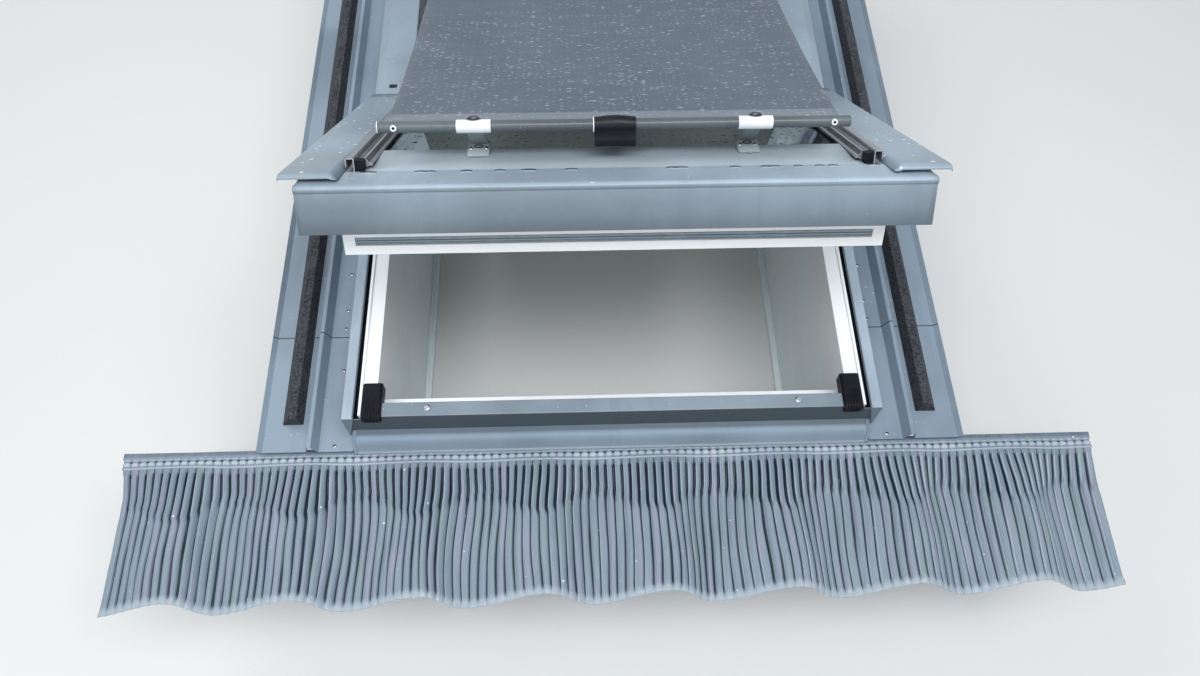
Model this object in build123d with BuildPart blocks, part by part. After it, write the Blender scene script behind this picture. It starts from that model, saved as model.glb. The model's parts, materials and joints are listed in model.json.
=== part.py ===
from build123d import *
import math
import os

# Centre pivot roof window with its flashing and an outside awning blind, sash swung open.
# Millimetres. X runs across the window, Y up the slope of the roof, Z out of the roof.
# The origin is the middle of the window on the plane of the fixing brackets, which lies on
# the battens. Heights below are counted from the lower edge of the frame in Y, and from the
# top plane of the frame covers in Z, by drawing on the roof and sash planes.

# Frame
frame_w = 660.0
frame_h = 980.0
frame_depth = 125.0
side_w = 40.0
end_w = 45.5
shelf_z = -46.0
strip_z = -5.0
inner_z = -99.0
ridge_w = 3.5
ridge_z = -2.0
groove_w = 6.0
groove_z = -14.0
cover_t = 1.0
side_cover_w = 13.0
end_cover_w = 21.0
cover_step = 2.2
side_flange = 53.0
end_flange = 40.0
lip_drop = 7.0
upper_drop = 3.5
cladding_gap = 3.5
fit = 0.5
seat = 0.3
bend = 1.4

# Reveal lining
lining_t = 12.0
lining_z = -340.0

# Sash, drawn in its closed place and then swung open about the pivot
open_angle = 38.5
pivot_up = 2.0
pivot_z = 0.0
sash_gap = 5.5
sash_rail_w = 52.5
sash_front_y = 28.0
sash_end_gap = 6.5
sash_top_z = 8.8
sash_bottom_z = -80.0
sash_nose_z = -42.5
sash_front_z = -56.0
sash_front_gap = 3.5
sash_front_lean = 5.0
glass_t = 4.0
spacer_t = 16.0
glass_top_z = 12.0
glass_bite = 28.0
end_bite = 26.0
rebate_gap = 2.0
bottom_rail_y = 116.0
top_rail_h = 64.0

# Sash covers
sash_cover_in = 18.0
sash_cover_y = -3.2
sash_face_z = -40.0
sash_lip_z = 8.5
crease_y = 44.0
crease_z = 10.5
sash_edge_y = 118.0
sash_edge_z = 16.0
wing_w = 51.0
wing_z = 18.0
wing_lip = 6.5
wing_nose = 7.0
wing_y = 9.0
wing_end_gap = 14.0
wing_flange_z = 11.5
upper_cover_z = 15.0
upper_cover_w = 56.0
hood_len = 118.0

# Glazing bars and beads
bar_y = 46.0
bar_z = 24.0
bead_in = 6.0
bar_t = 1.2
bead_w = 7.0
block_w = 9.0
block_len = 12.0
bar_arch = 9.0
bar_foot = 10.5

# Awning blind
cloth_in = 23.0
cloth_t = 0.8
rod_d = 11.5
rod_out = 9.0
rod_y = 67.0
rod_z = 50.0
clamp_in = 88.0
clamp_w = 35.0
mouth_gap = 4.0
mouth_z = 56.0
cloth_sag = 20.0
cloth_tail = 85.0
cloth_lift = 10.0
casing_in = 66.0
casing_h = 74.0
casing_d = 132.0
casing_t = 1.5
mouth_h = 26.0
roller_d = 25.0
roll_t = 3.5
journal_d = 10.0
run = 0.05

# Flashing
sheet_t = 0.8
sill_y = -17.0
sill_z = -66.0
gutter_z = -65.0
gutter_w = 42.0
gutter_lip = 16.0
flange_out = 56.0
corner_len = 145.0
foam_in = 22.0
foam_h = 22.0
foam_end = 20.0
apron_side = 286.0
apron_len = 190.0
apron_z = -90.0
tile_pitch = 150.0
tile_rise = 23.0
tile_shift = 120.0
pleat_pitch = 10.2
pleat_depth = 5.0
head_flashing = 95.0

# Hinge with a curved track, whose centre is the pivot
track_r = 36.0
track_w = 8.0
plate_t = 2.0
plate_h = 46.0
plate_len = 130.0
slider_angle = 16.0
further_angle = 6.5

# Control bar on the sash's top rail
grip_in = 22.0
grip_d = 9.0
grip_up = 38.0
lug_t = 3.0
hole_d = 6.2
bracket_end = 110.0
bracket_w = 80.0
bracket_reach = 72.0
bracket_t = 2.0
bracket_leg = 30.0
bracket_z = -90.0

os.makedirs("parts", exist_ok=True)

half_w = frame_w / 2
pivot_y = frame_h / 2 + pivot_up
hood_y = frame_h - hood_len
mouth_y = hood_y - mouth_gap
casing_w = frame_w - 2 * casing_in
apron_w = frame_w + 2 * apron_side
apron_y = sill_y - apron_len
seam_y = corner_len
middle = Plane.XZ
timber_x = half_w - cladding_gap
timber_y = cladding_gap + cover_step
groove_out = half_w - side_cover_w
groove_in = groove_out - groove_w
inner_x = half_w - side_w
inner_low_y = end_w
inner_high_y = frame_h - end_w
sash_x = inner_x - sash_gap
rail_x = sash_x - sash_rail_w
glass_x = rail_x + glass_bite
sash_high_y = inner_high_y - sash_end_gap
top_rail_y = sash_high_y - top_rail_h
glass_low_y = bottom_rail_y - end_bite
glass_high_y = top_rail_y + end_bite
glass_low_z = glass_top_z - 2 * glass_t - spacer_t
wing_in_x = half_w - wing_w
wing_high_y = pivot_y - wing_end_gap
bead_x = glass_x - bead_in
cloth_w = 2 * (bead_x - cloth_in)
rod_len = cloth_w + 2 * rod_out
clamp_x = cloth_w / 2 - clamp_in
grip_w = 2 * (rail_x - grip_in)
grip_y = top_rail_y + grip_up
bar_end_y = hood_y - 12

roof = Plane(origin=(0, -frame_h / 2, -bracket_z))
sash = Plane(
    roof.location
    * Location((0, pivot_y, pivot_z), (-open_angle, 0, 0))
    * Location((0, -pivot_y, -pivot_z))
)


def across(lay, y):
    """Plane that cuts the lay at height y, drawn in (x, z) and extruded down the slope."""
    return Plane(origin=lay.from_local_coords((0, y, 0)), x_dir=lay.x_dir, z_dir=-lay.y_dir)


def along(lay, x):
    """Plane that cuts the lay at x, drawn in (y, z) and extruded towards +X."""
    return Plane(origin=lay.from_local_coords((x, 0, 0)), x_dir=lay.y_dir, z_dir=lay.x_dir)


def keep(shape, name):
    """Label a finished piece and write it."""
    shape.label = name
    export_step(shape, f"parts/{name}.step")


def keep_pair(shape, name):
    """Write the right hand piece and its mirror image on the left."""
    keep(shape, f"{name}_right")
    with BuildPart() as left:
        mirror(shape, about=Plane.YZ)
    keep(left.part, f"{name}_left")


# Frame sides, with the strip, the white ridge, the gasket groove and the rebate for the lining
rebate_x = inner_x + lining_t + fit
side_profile = [
    (timber_x, -frame_depth),
    (timber_x, -cover_t - fit),
    (groove_out + cover_t + fit, -cover_t - fit),
    (groove_out + cover_t + fit, groove_z),
    (groove_in, groove_z),
    (groove_in, ridge_z),
    (groove_in - ridge_w, ridge_z),
    (groove_in - ridge_w, strip_z),
    (inner_x, strip_z),
    (inner_x, inner_z),
    (rebate_x, inner_z),
    (rebate_x, -frame_depth),
]
with BuildPart() as frame_side:
    with BuildSketch(across(roof, frame_h - cladding_gap)):
        with BuildLine():
            Polyline(*side_profile, close=True)
        make_face()
    extrude(amount=frame_h - cladding_gap - timber_y)
keep_pair(frame_side.part, "frame_side")

# Frame rails at the bottom and the head, stepped for the nose of the sash
with BuildPart() as frame_bottom:
    with BuildSketch(along(roof, -inner_x)):
        with BuildLine():
            Polyline(
                (timber_y, -frame_depth),
                (timber_y, -cover_t - fit),
                (end_cover_w - cover_t - fit, -cover_t - fit),
                (end_cover_w - cover_t - fit, shelf_z),
                (end_w, shelf_z),
                (end_w, inner_z),
                (end_w - lining_t - fit, inner_z),
                (end_w - lining_t - fit, -frame_depth),
                close=True,
            )
        make_face()
    extrude(amount=2 * inner_x)
keep(frame_bottom.part, "frame_bottom")
with BuildPart() as frame_head:
    mirror(frame_bottom.part, about=middle)
keep(frame_head.part, "frame_head")

# Reveal lining boards, let into the rebates
lining_top = inner_z - seat
with BuildPart() as lining_side:
    with BuildSketch(roof.offset(lining_z)):
        with Locations((inner_x + lining_t / 2, frame_h / 2)):
            Rectangle(lining_t, inner_high_y - inner_low_y)
    extrude(amount=lining_top - lining_z)
keep_pair(lining_side.part, "lining")
with BuildPart() as lining_bottom:
    with BuildSketch(roof.offset(lining_z)):
        with Locations((0, inner_low_y - lining_t / 2)):
            Rectangle(2 * (inner_x + lining_t), lining_t)
    extrude(amount=lining_top - lining_z)
keep(lining_bottom.part, "lining_bottom")
with BuildPart() as lining_head:
    mirror(lining_bottom.part, about=middle)
keep(lining_head.part, "lining_head")
# Gaskets in the grooves of the frame sides
gasket_h = 4.0
gasket_out = groove_out + cover_t + fit
gasket_mid = (groove_in + gasket_out) / 2
with BuildPart() as frame_gaskets:
    with BuildSketch(across(roof, inner_high_y)):
        for side in (-1, 1):
            with Locations((side * gasket_mid, groove_z + gasket_h / 2)):
                Rectangle(gasket_out - groove_in, gasket_h)
            with Locations((side * gasket_mid, groove_z + gasket_h)):
                Rectangle(groove_w / 2, groove_w / 2, rotation=45)
    extrude(amount=inner_high_y - timber_y)
keep(frame_gaskets.part, "frame_gaskets")

# Bottom frame cover: full width front flange, and a top plate that stops at the corner plugs
plug_w = 24.0
plug_x = inner_x + 4
plug_in_x = plug_x - plug_w / 2
plug_out_x = plug_x + plug_w / 2
with BuildPart() as frame_cover_bottom:
    with BuildSketch(along(roof, fit - timber_x)):
        with BuildLine():
            FilletPolyline(
                (cover_step, -end_flange),
                (cover_step, 0),
                (end_cover_w, 0),
                (end_cover_w, -lip_drop),
                radius=bend,
            )
            offset(amount=cover_t, side=Side.RIGHT)
        make_face()
    extrude(amount=2 * (timber_x - fit))
    with BuildSketch(roof.offset(-end_flange)):
        with Locations((-half_w, end_cover_w / 2), (half_w, end_cover_w / 2)):
            Rectangle(2 * (half_w - plug_in_x), end_cover_w, align=(Align.CENTER, Align.MIN))
    extrude(amount=end_flange + cover_t, mode=Mode.SUBTRACT)
    with BuildSketch(roof.offset(-lip_drop - seat)):
        with Locations((-half_w, 0), (half_w, 0)):
            Rectangle(2 * (half_w - plug_in_x), end_cover_w, align=(Align.CENTER, Align.MIN))
    extrude(amount=2 * lip_drop, mode=Mode.SUBTRACT)
keep(frame_cover_bottom.part, "frame_cover_bottom")

# Lower side covers of the frame, from the pivot to the slanting flap at the bottom corner
side_cover_high = pivot_y + 1.5
with BuildPart() as side_cover_lower:
    with BuildSketch(across(roof, side_cover_high)):
        with BuildLine():
            FilletPolyline(
                (half_w, -side_flange),
                (half_w, 0),
                (groove_out, 0),
                (groove_out, -lip_drop),
                radius=bend,
            )
            offset(amount=cover_t, side=Side.LEFT)
        make_face()
    extrude(amount=side_cover_high)
    with BuildSketch(across(roof, cover_t)):
        with BuildLine():
            Polyline(
                (half_w, -side_flange),
                (half_w, -bend),
                (half_w - bend, 0),
                (groove_out, 0),
                (groove_out, -lip_drop),
                close=True,
            )
        make_face()
    extrude(amount=cover_t)
keep_pair(side_cover_lower.part, "side_cover_lower")

# Upper side covers, which also cover the upper half of the sash
upper_in_x = half_w - upper_cover_w
slot_l = 11.0
slot_w = 7.0
with BuildPart() as side_cover_upper:
    with BuildSketch(across(roof, frame_h - cover_t - seat)):
        with BuildLine():
            FilletPolyline(
                (half_w, -side_flange),
                (half_w, 3),
                (half_w - upper_cover_w / 4, upper_cover_z),
                (upper_in_x, upper_cover_z),
                (upper_in_x, upper_cover_z - upper_drop),
                radius=bend,
            )
            offset(amount=cover_t, side=Side.LEFT)
        make_face()
    extrude(amount=frame_h - cover_t - seat - side_cover_high - fit)
    with BuildSketch(roof.offset(upper_cover_z - 2 * cover_t)):
        with Locations((half_w - upper_cover_w / 2, pivot_y + 22)):
            Rectangle(slot_l, slot_w)
    extrude(amount=3 * cover_t, mode=Mode.SUBTRACT)
keep_pair(side_cover_upper.part, "side_cover_upper")

# Hood over the head of the window
hood_z = upper_cover_z + seat + cover_t
with BuildPart() as hood:
    with BuildSketch(along(roof, -half_w)):
        with BuildLine():
            FilletPolyline((hood_y, hood_z), (frame_h, hood_z), (frame_h, -side_flange), radius=bend)
            offset(amount=cover_t, side=Side.RIGHT)
        make_face()
    extrude(amount=frame_w)
keep(hood.part, "hood")

# Black rubber corner plugs, saddled over the inner edge of the frame sides
plug_z = 4.0
plug_y = 46.0
plug_leg = 14.0
plug_nose = 10.0
plug_room = 4.5
with BuildPart() as corner_plugs:
    for side in (-1, 1):
        with BuildSketch(roof.offset(seat)):
            with Locations((side * plug_x, -1)):
                Rectangle(plug_w, plug_y + 1, align=(Align.CENTER, Align.MIN))
        extrude(amount=plug_z - seat)
        with BuildSketch(roof.offset(strip_z + seat)):
            with Locations((side * (inner_x + plug_out_x) / 2, timber_y)):
                Rectangle(
                    plug_out_x - inner_x - 2 * seat,
                    plug_y - timber_y,
                    align=(Align.CENTER, Align.MIN),
                )
        extrude(amount=-strip_z)
        with BuildSketch(roof.offset(-plug_leg)):
            with Locations((side * (inner_x - seat), end_cover_w + fit)):
                Rectangle(
                    inner_x - seat - plug_in_x,
                    plug_y - end_cover_w - fit,
                    align=(Align.MAX if side > 0 else Align.MIN, Align.MIN),
                )
        extrude(amount=plug_leg + plug_z / 2)
        with BuildSketch(roof.offset(-plug_nose)):
            with Locations((side * plug_x, -1)):
                Rectangle(plug_w, 1 + cover_step - seat, align=(Align.CENTER, Align.MIN))
        extrude(amount=plug_nose + plug_z)
    chamfer(corner_plugs.edges().group_by(Axis.Z)[-1].group_by(Axis.Y)[0], length=2)
keep(corner_plugs.part, "corner_plugs")

# Sash bottom rail, with its slanted front and the groove for the ribbed seal
front_y = inner_low_y + sash_front_gap
front_top = (front_y, sash_front_z)
front_low = (front_y + sash_front_lean, sash_bottom_z)
front_len = math.dist(front_top, front_low)
down_y = (front_low[0] - front_top[0]) / front_len
down_z = (front_low[1] - front_top[1]) / front_len
seal_from = 4.0
seal_to = 14.0
seal_deep = 4.0
seal_x = sash_x - 12.5


def on_front(distance, depth):
    """Point on the slanted front of the bottom rail, from its top edge and into the timber."""
    return (
        front_top[0] + down_y * distance - down_z * depth,
        front_top[1] + down_z * distance + down_y * depth,
    )


with BuildPart() as sash_rail_bottom:
    with BuildSketch(along(sash, -sash_x)):
        with BuildLine():
            Polyline(
                (sash_front_y, sash_nose_z),
                (front_y, sash_nose_z),
                front_top,
                front_low,
                (bottom_rail_y - 4, sash_bottom_z),
                (bottom_rail_y, sash_bottom_z + 4),
                (bottom_rail_y, glass_low_z - fit),
                (glass_low_y - rebate_gap, glass_low_z - fit),
                (glass_low_y - rebate_gap, sash_top_z),
                (sash_front_y, sash_top_z - 1.5),
                close=True,
            )
        make_face()
    extrude(amount=2 * sash_x)
    with BuildSketch(along(sash, -seal_x)):
        with BuildLine():
            Polyline(
                on_front(seal_from, -1),
                on_front(seal_to, -1),
                on_front(seal_to, seal_deep),
                on_front(seal_from, seal_deep),
                close=True,
            )
        make_face()
    extrude(amount=2 * seal_x, mode=Mode.SUBTRACT)
    with BuildSketch(sash.offset(sash_bottom_z)):
        with Locations((-sash_x, sash_front_y), (sash_x, sash_front_y)):
            Rectangle(2 * (sash_x - plug_in_x + 1), 2 * (plug_y + plug_room - sash_front_y))
    extrude(amount=sash_top_z - sash_bottom_z, mode=Mode.SUBTRACT)
keep(sash_rail_bottom.part, "sash_rail_bottom")

# Grey ribbed seal in that groove
rib = (seal_to - seal_from) / 5
seal_points = [on_front(seal_from, seal_deep), on_front(seal_from, 1)]
for step in range(1, 5):
    seal_points.append(on_front(seal_from + rib * step, 3.2 if step % 2 else 1))
seal_points += [on_front(seal_to, 3.2), on_front(seal_to, seal_deep)]
with BuildPart() as sash_seal:
    with BuildSketch(along(sash, -seal_x)):
        with BuildLine():
            Polyline(*seal_points, close=True)
        make_face()
    extrude(amount=2 * seal_x)
keep(sash_seal.part, "sash_seal")

# Sash side rails and top rail
rail_chamfer = 4.0
with BuildPart() as sash_rail:
    with BuildSketch(across(sash, top_rail_y)):
        with BuildLine():
            Polyline(
                (sash_x, sash_bottom_z),
                (sash_x, sash_top_z),
                (glass_x + rebate_gap, sash_top_z),
                (glass_x + rebate_gap, glass_low_z - fit),
                (rail_x, glass_low_z - fit),
                (rail_x, sash_bottom_z + rail_chamfer),
                (rail_x + rail_chamfer, sash_bottom_z),
                close=True,
            )
        make_face()
    extrude(amount=top_rail_y - bottom_rail_y)
keep_pair(sash_rail.part, "sash_rail")
with BuildPart() as sash_rail_top:
    with BuildSketch(along(sash, -sash_x)):
        with BuildLine():
            Polyline(
                (sash_high_y, sash_bottom_z),
                (sash_high_y, sash_top_z),
                (glass_high_y + rebate_gap, sash_top_z),
                (glass_high_y + rebate_gap, glass_low_z - fit),
                (top_rail_y, glass_low_z - fit),
                (top_rail_y, sash_bottom_z + rail_chamfer),
                (top_rail_y + rail_chamfer, sash_bottom_z),
                close=True,
            )
        make_face()
    extrude(amount=2 * sash_x)
keep(sash_rail_top.part, "sash_rail_top")

# Sealed glazing unit: two panes and the spacer between them, and the gasket on its edge
glass_len = glass_high_y - glass_low_y
glass_mid = (glass_high_y + glass_low_y) / 2
spacer_w = 12.0


with BuildPart() as glass_outer:
    with BuildSketch(sash.offset(glass_top_z - glass_t)):
        with Locations((0, glass_mid)):
            Rectangle(2 * glass_x, glass_len)
    extrude(amount=glass_t)
keep(glass_outer.part, "glass_outer")
with BuildPart() as glass_spacer:
    with BuildSketch(sash.offset(glass_low_z + glass_t)):
        with Locations((0, glass_mid)):
            Rectangle(2 * glass_x, glass_len)
            Rectangle(2 * (glass_x - spacer_w), glass_len - 2 * spacer_w, mode=Mode.SUBTRACT)
    extrude(amount=spacer_t)
keep(glass_spacer.part, "glass_spacer")
with BuildPart() as glass_inner:
    with BuildSketch(sash.offset(glass_low_z)):
        with Locations((0, glass_mid)):
            Rectangle(2 * glass_x, glass_len)
    extrude(amount=glass_t)
keep(glass_inner.part, "glass_inner")
gasket_x = bead_x - bead_w
gasket_w = 4.0
with BuildPart() as glazing_gasket:
    with BuildSketch(sash.offset(glass_top_z)):
        with Locations((0, (sash_edge_y + bar_end_y) / 2)):
            Rectangle(2 * (gasket_x + 3), bar_end_y - sash_edge_y - 2 * seat)
            Rectangle(
                2 * (gasket_x + 3 - gasket_w),
                bar_end_y - sash_edge_y - 2 * seat - 2 * gasket_w,
                mode=Mode.SUBTRACT,
            )
    extrude(amount=1.4)
keep(glazing_gasket.part, "glazing_gasket")

# Bottom sash cover: tall front face, rolled lip, flat lower part, crease and sloping upper part
cover_x = half_w - sash_cover_in
lip_out = 2.0
web_x = glass_x + rebate_gap + fit
block_x = web_x - block_w
block_y = crease_y + 1 + fit
block_end_y = block_y + block_len
with BuildPart() as sash_cover_bottom:
    with BuildSketch(along(sash, -cover_x)):
        with BuildLine():
            FilletPolyline(
                (sash_cover_y, sash_face_z),
                (sash_cover_y, 1),
                (sash_cover_y - lip_out, 3),
                (sash_cover_y - lip_out, sash_lip_z),
                (crease_y, crease_z),
                (sash_edge_y, sash_edge_z),
                (sash_edge_y, glass_top_z + 1.7),
                radius=1.3,
            )
            offset(amount=cover_t, side=Side.RIGHT)
        make_face()
    extrude(amount=2 * cover_x)
    with BuildSketch(sash.offset(sash_lip_z)):
        with Locations((-cover_x, crease_y + 1), (cover_x, crease_y + 1)):
            Rectangle(2 * (cover_x - block_x + fit), sash_edge_y, align=(Align.CENTER, Align.MIN))
        with Locations((-cover_x, block_end_y), (cover_x, block_end_y)):
            Rectangle(2 * (cover_x - gasket_x + fit), sash_edge_y, align=(Align.CENTER, Align.MIN))
    extrude(amount=sash_edge_z, mode=Mode.SUBTRACT)
keep(sash_cover_bottom.part, "sash_cover_bottom")

# Top sash cover, hidden under the hood
top_cover_x = upper_in_x - cover_t - fit
with BuildPart() as sash_cover_top:
    with BuildSketch(along(sash, -top_cover_x)):
        with BuildLine():
            FilletPolyline(
                (bar_end_y + seat, glass_top_z + seat + cover_t),
                (glass_high_y, glass_top_z + seat + cover_t),
                (glass_high_y + 6, sash_top_z + seat + cover_t),
                (sash_high_y - 2, sash_top_z + seat + cover_t),
                radius=bend,
            )
            offset(amount=cover_t, side=Side.RIGHT)
        make_face()
    extrude(amount=2 * top_cover_x)
keep(sash_cover_top.part, "sash_cover_top")

# Wings: the side covers of the sash's lower half, rounded down at their lower end
with BuildPart() as wing:
    with BuildSketch(across(sash, wing_high_y)):
        with BuildLine():
            FilletPolyline(
                (half_w, wing_z - wing_lip),
                (half_w, wing_z),
                (wing_in_x, wing_z),
                (wing_in_x - 6.5, wing_flange_z),
                radius=bend,
            )
            offset(amount=cover_t, side=Side.LEFT)
        make_face()
    extrude(amount=wing_high_y - wing_y - wing_nose)
    with BuildSketch(along(sash, wing_in_x)):
        with BuildLine():
            Polyline(
                (wing_y + wing_nose, wing_z),
                (wing_y + wing_nose * 0.45, wing_z - 1),
                (wing_y + 0.5, wing_z - wing_lip * 0.55),
                (wing_y, wing_z - wing_lip),
                (wing_y + cover_t, wing_z - wing_lip),
                (wing_y + cover_t + 0.5, wing_z - wing_lip * 0.55),
                (wing_y + wing_nose * 0.5, wing_z - 1 - cover_t),
                (wing_y + wing_nose, wing_z - cover_t),
                close=True,
            )
        make_face()
    extrude(amount=half_w - wing_in_x)
keep_pair(wing.part, "wing")

# Bare aluminium glazing bars: a foot, a web and an arch that hangs over on the outside
bar_foot_z = sash_top_z + seat
bar_arch_z = bar_z - bar_arch
with BuildPart() as glazing_bar:
    with BuildSketch(across(sash, bar_end_y)):
        with BuildLine():
            Polyline(
                (web_x, bar_foot_z),
                (web_x + bar_foot, bar_foot_z),
                (web_x + bar_foot, bar_foot_z + bar_t),
                (web_x + bar_t, bar_foot_z + bar_t),
                (web_x + bar_t, bar_z - bar_t),
                (web_x + bar_arch - bar_t, bar_z - bar_t),
                (web_x + bar_arch - bar_t, bar_arch_z),
                (web_x + bar_arch, bar_arch_z),
                (web_x + bar_arch, bar_z - 1.5),
                (web_x + bar_arch - 1.5, bar_z),
                (web_x + 1, bar_z),
                (web_x, bar_z - 1),
                close=True,
            )
        make_face()
    extrude(amount=bar_end_y - bar_y)
keep_pair(glazing_bar.part, "glazing_bar")

# Beads that hold the pane beside the bars, with a ridged crown
with BuildPart() as glazing_beads:
    for side in (-1, 1):
        with BuildSketch(across(sash, bar_end_y)):
            with BuildLine():
                Polyline(
                    (side * (bead_x + 7), glass_top_z + seat),
                    (side * (bead_x + 7), bar_z - 4),
                    (side * (bead_x + 5), bar_z - 1.5),
                    (side * (bead_x + 2), bar_z - 3.5),
                    (side * (bead_x - 1), bar_z - 3),
                    (side * (bead_x - 4), bar_z - 7),
                    (side * (bead_x - 7), bar_z - 8),
                    (side * (bead_x - 7), glass_top_z + 1.7),
                    (side * (bead_x - 3), glass_top_z + 1.7),
                    (side * (bead_x - 3), glass_top_z + seat),
                    close=True,
                )
            make_face()
        extrude(amount=bar_end_y - block_end_y - seat)
keep(glazing_beads.part, "glazing_beads")

# Rubber blocks that close the lower ends of the beads, against the webs of the glazing bars
with BuildPart() as end_blocks:
    for side in (-1, 1):
        with BuildSketch(across(sash, block_end_y)):
            with BuildLine():
                Polyline(
                    (side * (web_x - seat), bar_foot_z),
                    (side * (web_x - seat), bar_z - 1.5),
                    (side * block_x, bar_z - 3),
                    (side * block_x, bar_foot_z),
                    close=True,
                )
            make_face()
        extrude(amount=block_len)
keep(end_blocks.part, "end_blocks")

# Hinges: a frame plate with a curved track, and a sash plate whose slider runs in it
hinge_low_z = strip_z - 3


def track_arc(radius_in, radius_out, angle_from, angle_to):
    """Closed ring sector about the pivot, in degrees from +Y towards +Z."""
    CenterArc((pivot_y, pivot_z), radius_in, angle_from, angle_to - angle_from)
    CenterArc((pivot_y, pivot_z), radius_out, angle_from, angle_to - angle_from)
    for angle in (angle_from, angle_to):
        turn = math.radians(angle)
        reach = (math.cos(turn), math.sin(turn))
        Line(
            (pivot_y + radius_in * reach[0], pivot_z + radius_in * reach[1]),
            (pivot_y + radius_out * reach[0], pivot_z + radius_out * reach[1]),
        )


closed_low = 270 - slider_angle / 2
track_from = closed_low - open_angle - further_angle - 2
track_to = closed_low + slider_angle + 2
with BuildPart() as hinges_frame:
    for side in (-1, 1):
        with BuildSketch(along(roof, side * inner_x)):
            with Locations((pivot_y, hinge_low_z - plate_h / 2)):
                Rectangle(plate_len, plate_h)
            with BuildLine():
                track_arc(
                    track_r - track_w / 2 - run, track_r + track_w / 2 + run, track_from, track_to
                )
            make_face(mode=Mode.SUBTRACT)
        extrude(amount=-side * plate_t)
keep(hinges_frame.part, "hinges_frame")
with BuildPart() as hinges_sash:
    for side in (-1, 1):
        with BuildSketch(along(sash, side * sash_x)):
            with Locations((pivot_y, hinge_low_z - plate_h / 2)):
                Rectangle(plate_len * 0.8, plate_h)
        extrude(amount=side * (sash_gap - plate_t - seat))
        with BuildSketch(along(sash, side * sash_x)):
            with BuildLine():
                track_arc(
                    track_r - track_w / 2,
                    track_r + track_w / 2,
                    closed_low,
                    closed_low + slider_angle,
                )
            make_face()
        extrude(amount=side * (sash_gap - seat))
keep(hinges_sash.part, "hinges_sash")

# Awning bar, across the sash above its bottom cover
screw_x = rod_len / 2 - 17
screw_y = rod_y - rod_d / 2 + 0.8
with BuildPart() as awning_bar:
    with BuildSketch(along(sash, -rod_len / 2)):
        with Locations((rod_y, rod_z)):
            Circle(rod_d / 2)
    extrude(amount=rod_len)
    with BuildSketch(across(sash, screw_y)):
        with Locations((-screw_x, rod_z), (screw_x, rod_z)):
            Circle(3.5)
    extrude(amount=rod_d, mode=Mode.SUBTRACT)
keep(awning_bar.part, "awning_bar")
with BuildPart() as bar_screws:
    with BuildSketch(across(sash, screw_y)):
        with Locations((-screw_x, rod_z), (screw_x, rod_z)):
            RegularPolygon(3, 10)
    extrude(amount=1.6)
keep(bar_screws.part, "bar_screws")

# Brackets on the bottom cover that carry the awning bar
foot_y = 104.0
foot_len = 34.0
foot_w = 23.0
stem_w = 17.0
cover_slope = math.degrees(math.atan2(sash_edge_z - crease_z, sash_edge_y - crease_y))
foot_z = crease_z + (foot_y - crease_y) * math.tan(math.radians(cover_slope)) + seat
clamp_r = rod_d / 2 + 1


with BuildPart() as awning_brackets:
    for side in (-1, 1):
        with BuildSketch(along(sash, side * clamp_x - foot_w / 2)):
            with Locations(Location((foot_y, foot_z + 1, 0), (0, 0, cover_slope))):
                Rectangle(foot_len, 2)
        extrude(amount=foot_w)
        with BuildSketch(along(sash, side * clamp_x - stem_w / 2)):
            with BuildLine():
                Polyline(
                    (foot_y + foot_len * 0.26, foot_z + 2.2),
                    (foot_y + foot_len * 0.42, foot_z + 2.6),
                    (rod_y + clamp_r * 1.4, rod_z),
                    (rod_y + clamp_r * 0.5, rod_z - clamp_r * 1.2),
                    close=True,
                )
            make_face()
            with Locations((rod_y, rod_z)):
                Circle(clamp_r + run, mode=Mode.SUBTRACT)
        extrude(amount=stem_w)
keep(awning_brackets.part, "awning_brackets")

# White clamps round the bar, one on each bracket
with BuildPart() as bar_clamps:
    for side in (-1, 1):
        with BuildSketch(along(sash, side * clamp_x - clamp_w / 2)):
            with Locations((rod_y, rod_z)):
                Circle(clamp_r)
                Circle(rod_d / 2 + run, mode=Mode.SUBTRACT)
        extrude(amount=clamp_w)
keep(bar_clamps.part, "bar_clamps")

# Black caps on the clamps
cap_w = 15.0
cap_h = 3.2
with BuildPart() as clamp_caps:
    for side in (-1, 1):
        with BuildSketch(along(sash, side * clamp_x - cap_w / 2)):
            with BuildLine():
                CenterArc((rod_y, rod_z), clamp_r + run, 50, 80)
                CenterArc((rod_y, rod_z), clamp_r + cap_h, 50, 80)
                for angle in (50, 130):
                    turn = math.radians(angle)
                    Line(
                        (
                            rod_y + (clamp_r + run) * math.cos(turn),
                            rod_z + (clamp_r + run) * math.sin(turn),
                        ),
                        (
                            rod_y + (clamp_r + cap_h) * math.cos(turn),
                            rod_z + (clamp_r + cap_h) * math.sin(turn),
                        ),
                    )
            make_face()
        extrude(amount=cap_w)
keep(clamp_caps.part, "clamp_caps")

# Black pull tab hanging from the middle of the bar
tab_w = 42.0
tab_drop = 22.0
with BuildPart() as pull_tab:
    with BuildSketch(along(sash, -tab_w / 2)):
        with Locations((rod_y, rod_z)):
            Circle(rod_d / 2 + 2)
        with Locations((rod_y, rod_z - tab_drop / 2)):
            Rectangle(2.4, tab_drop)
        with Locations((rod_y, rod_z)):
            Circle(rod_d / 2 + run, mode=Mode.SUBTRACT)
    extrude(amount=tab_w)
keep(pull_tab.part, "pull_tab")

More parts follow.
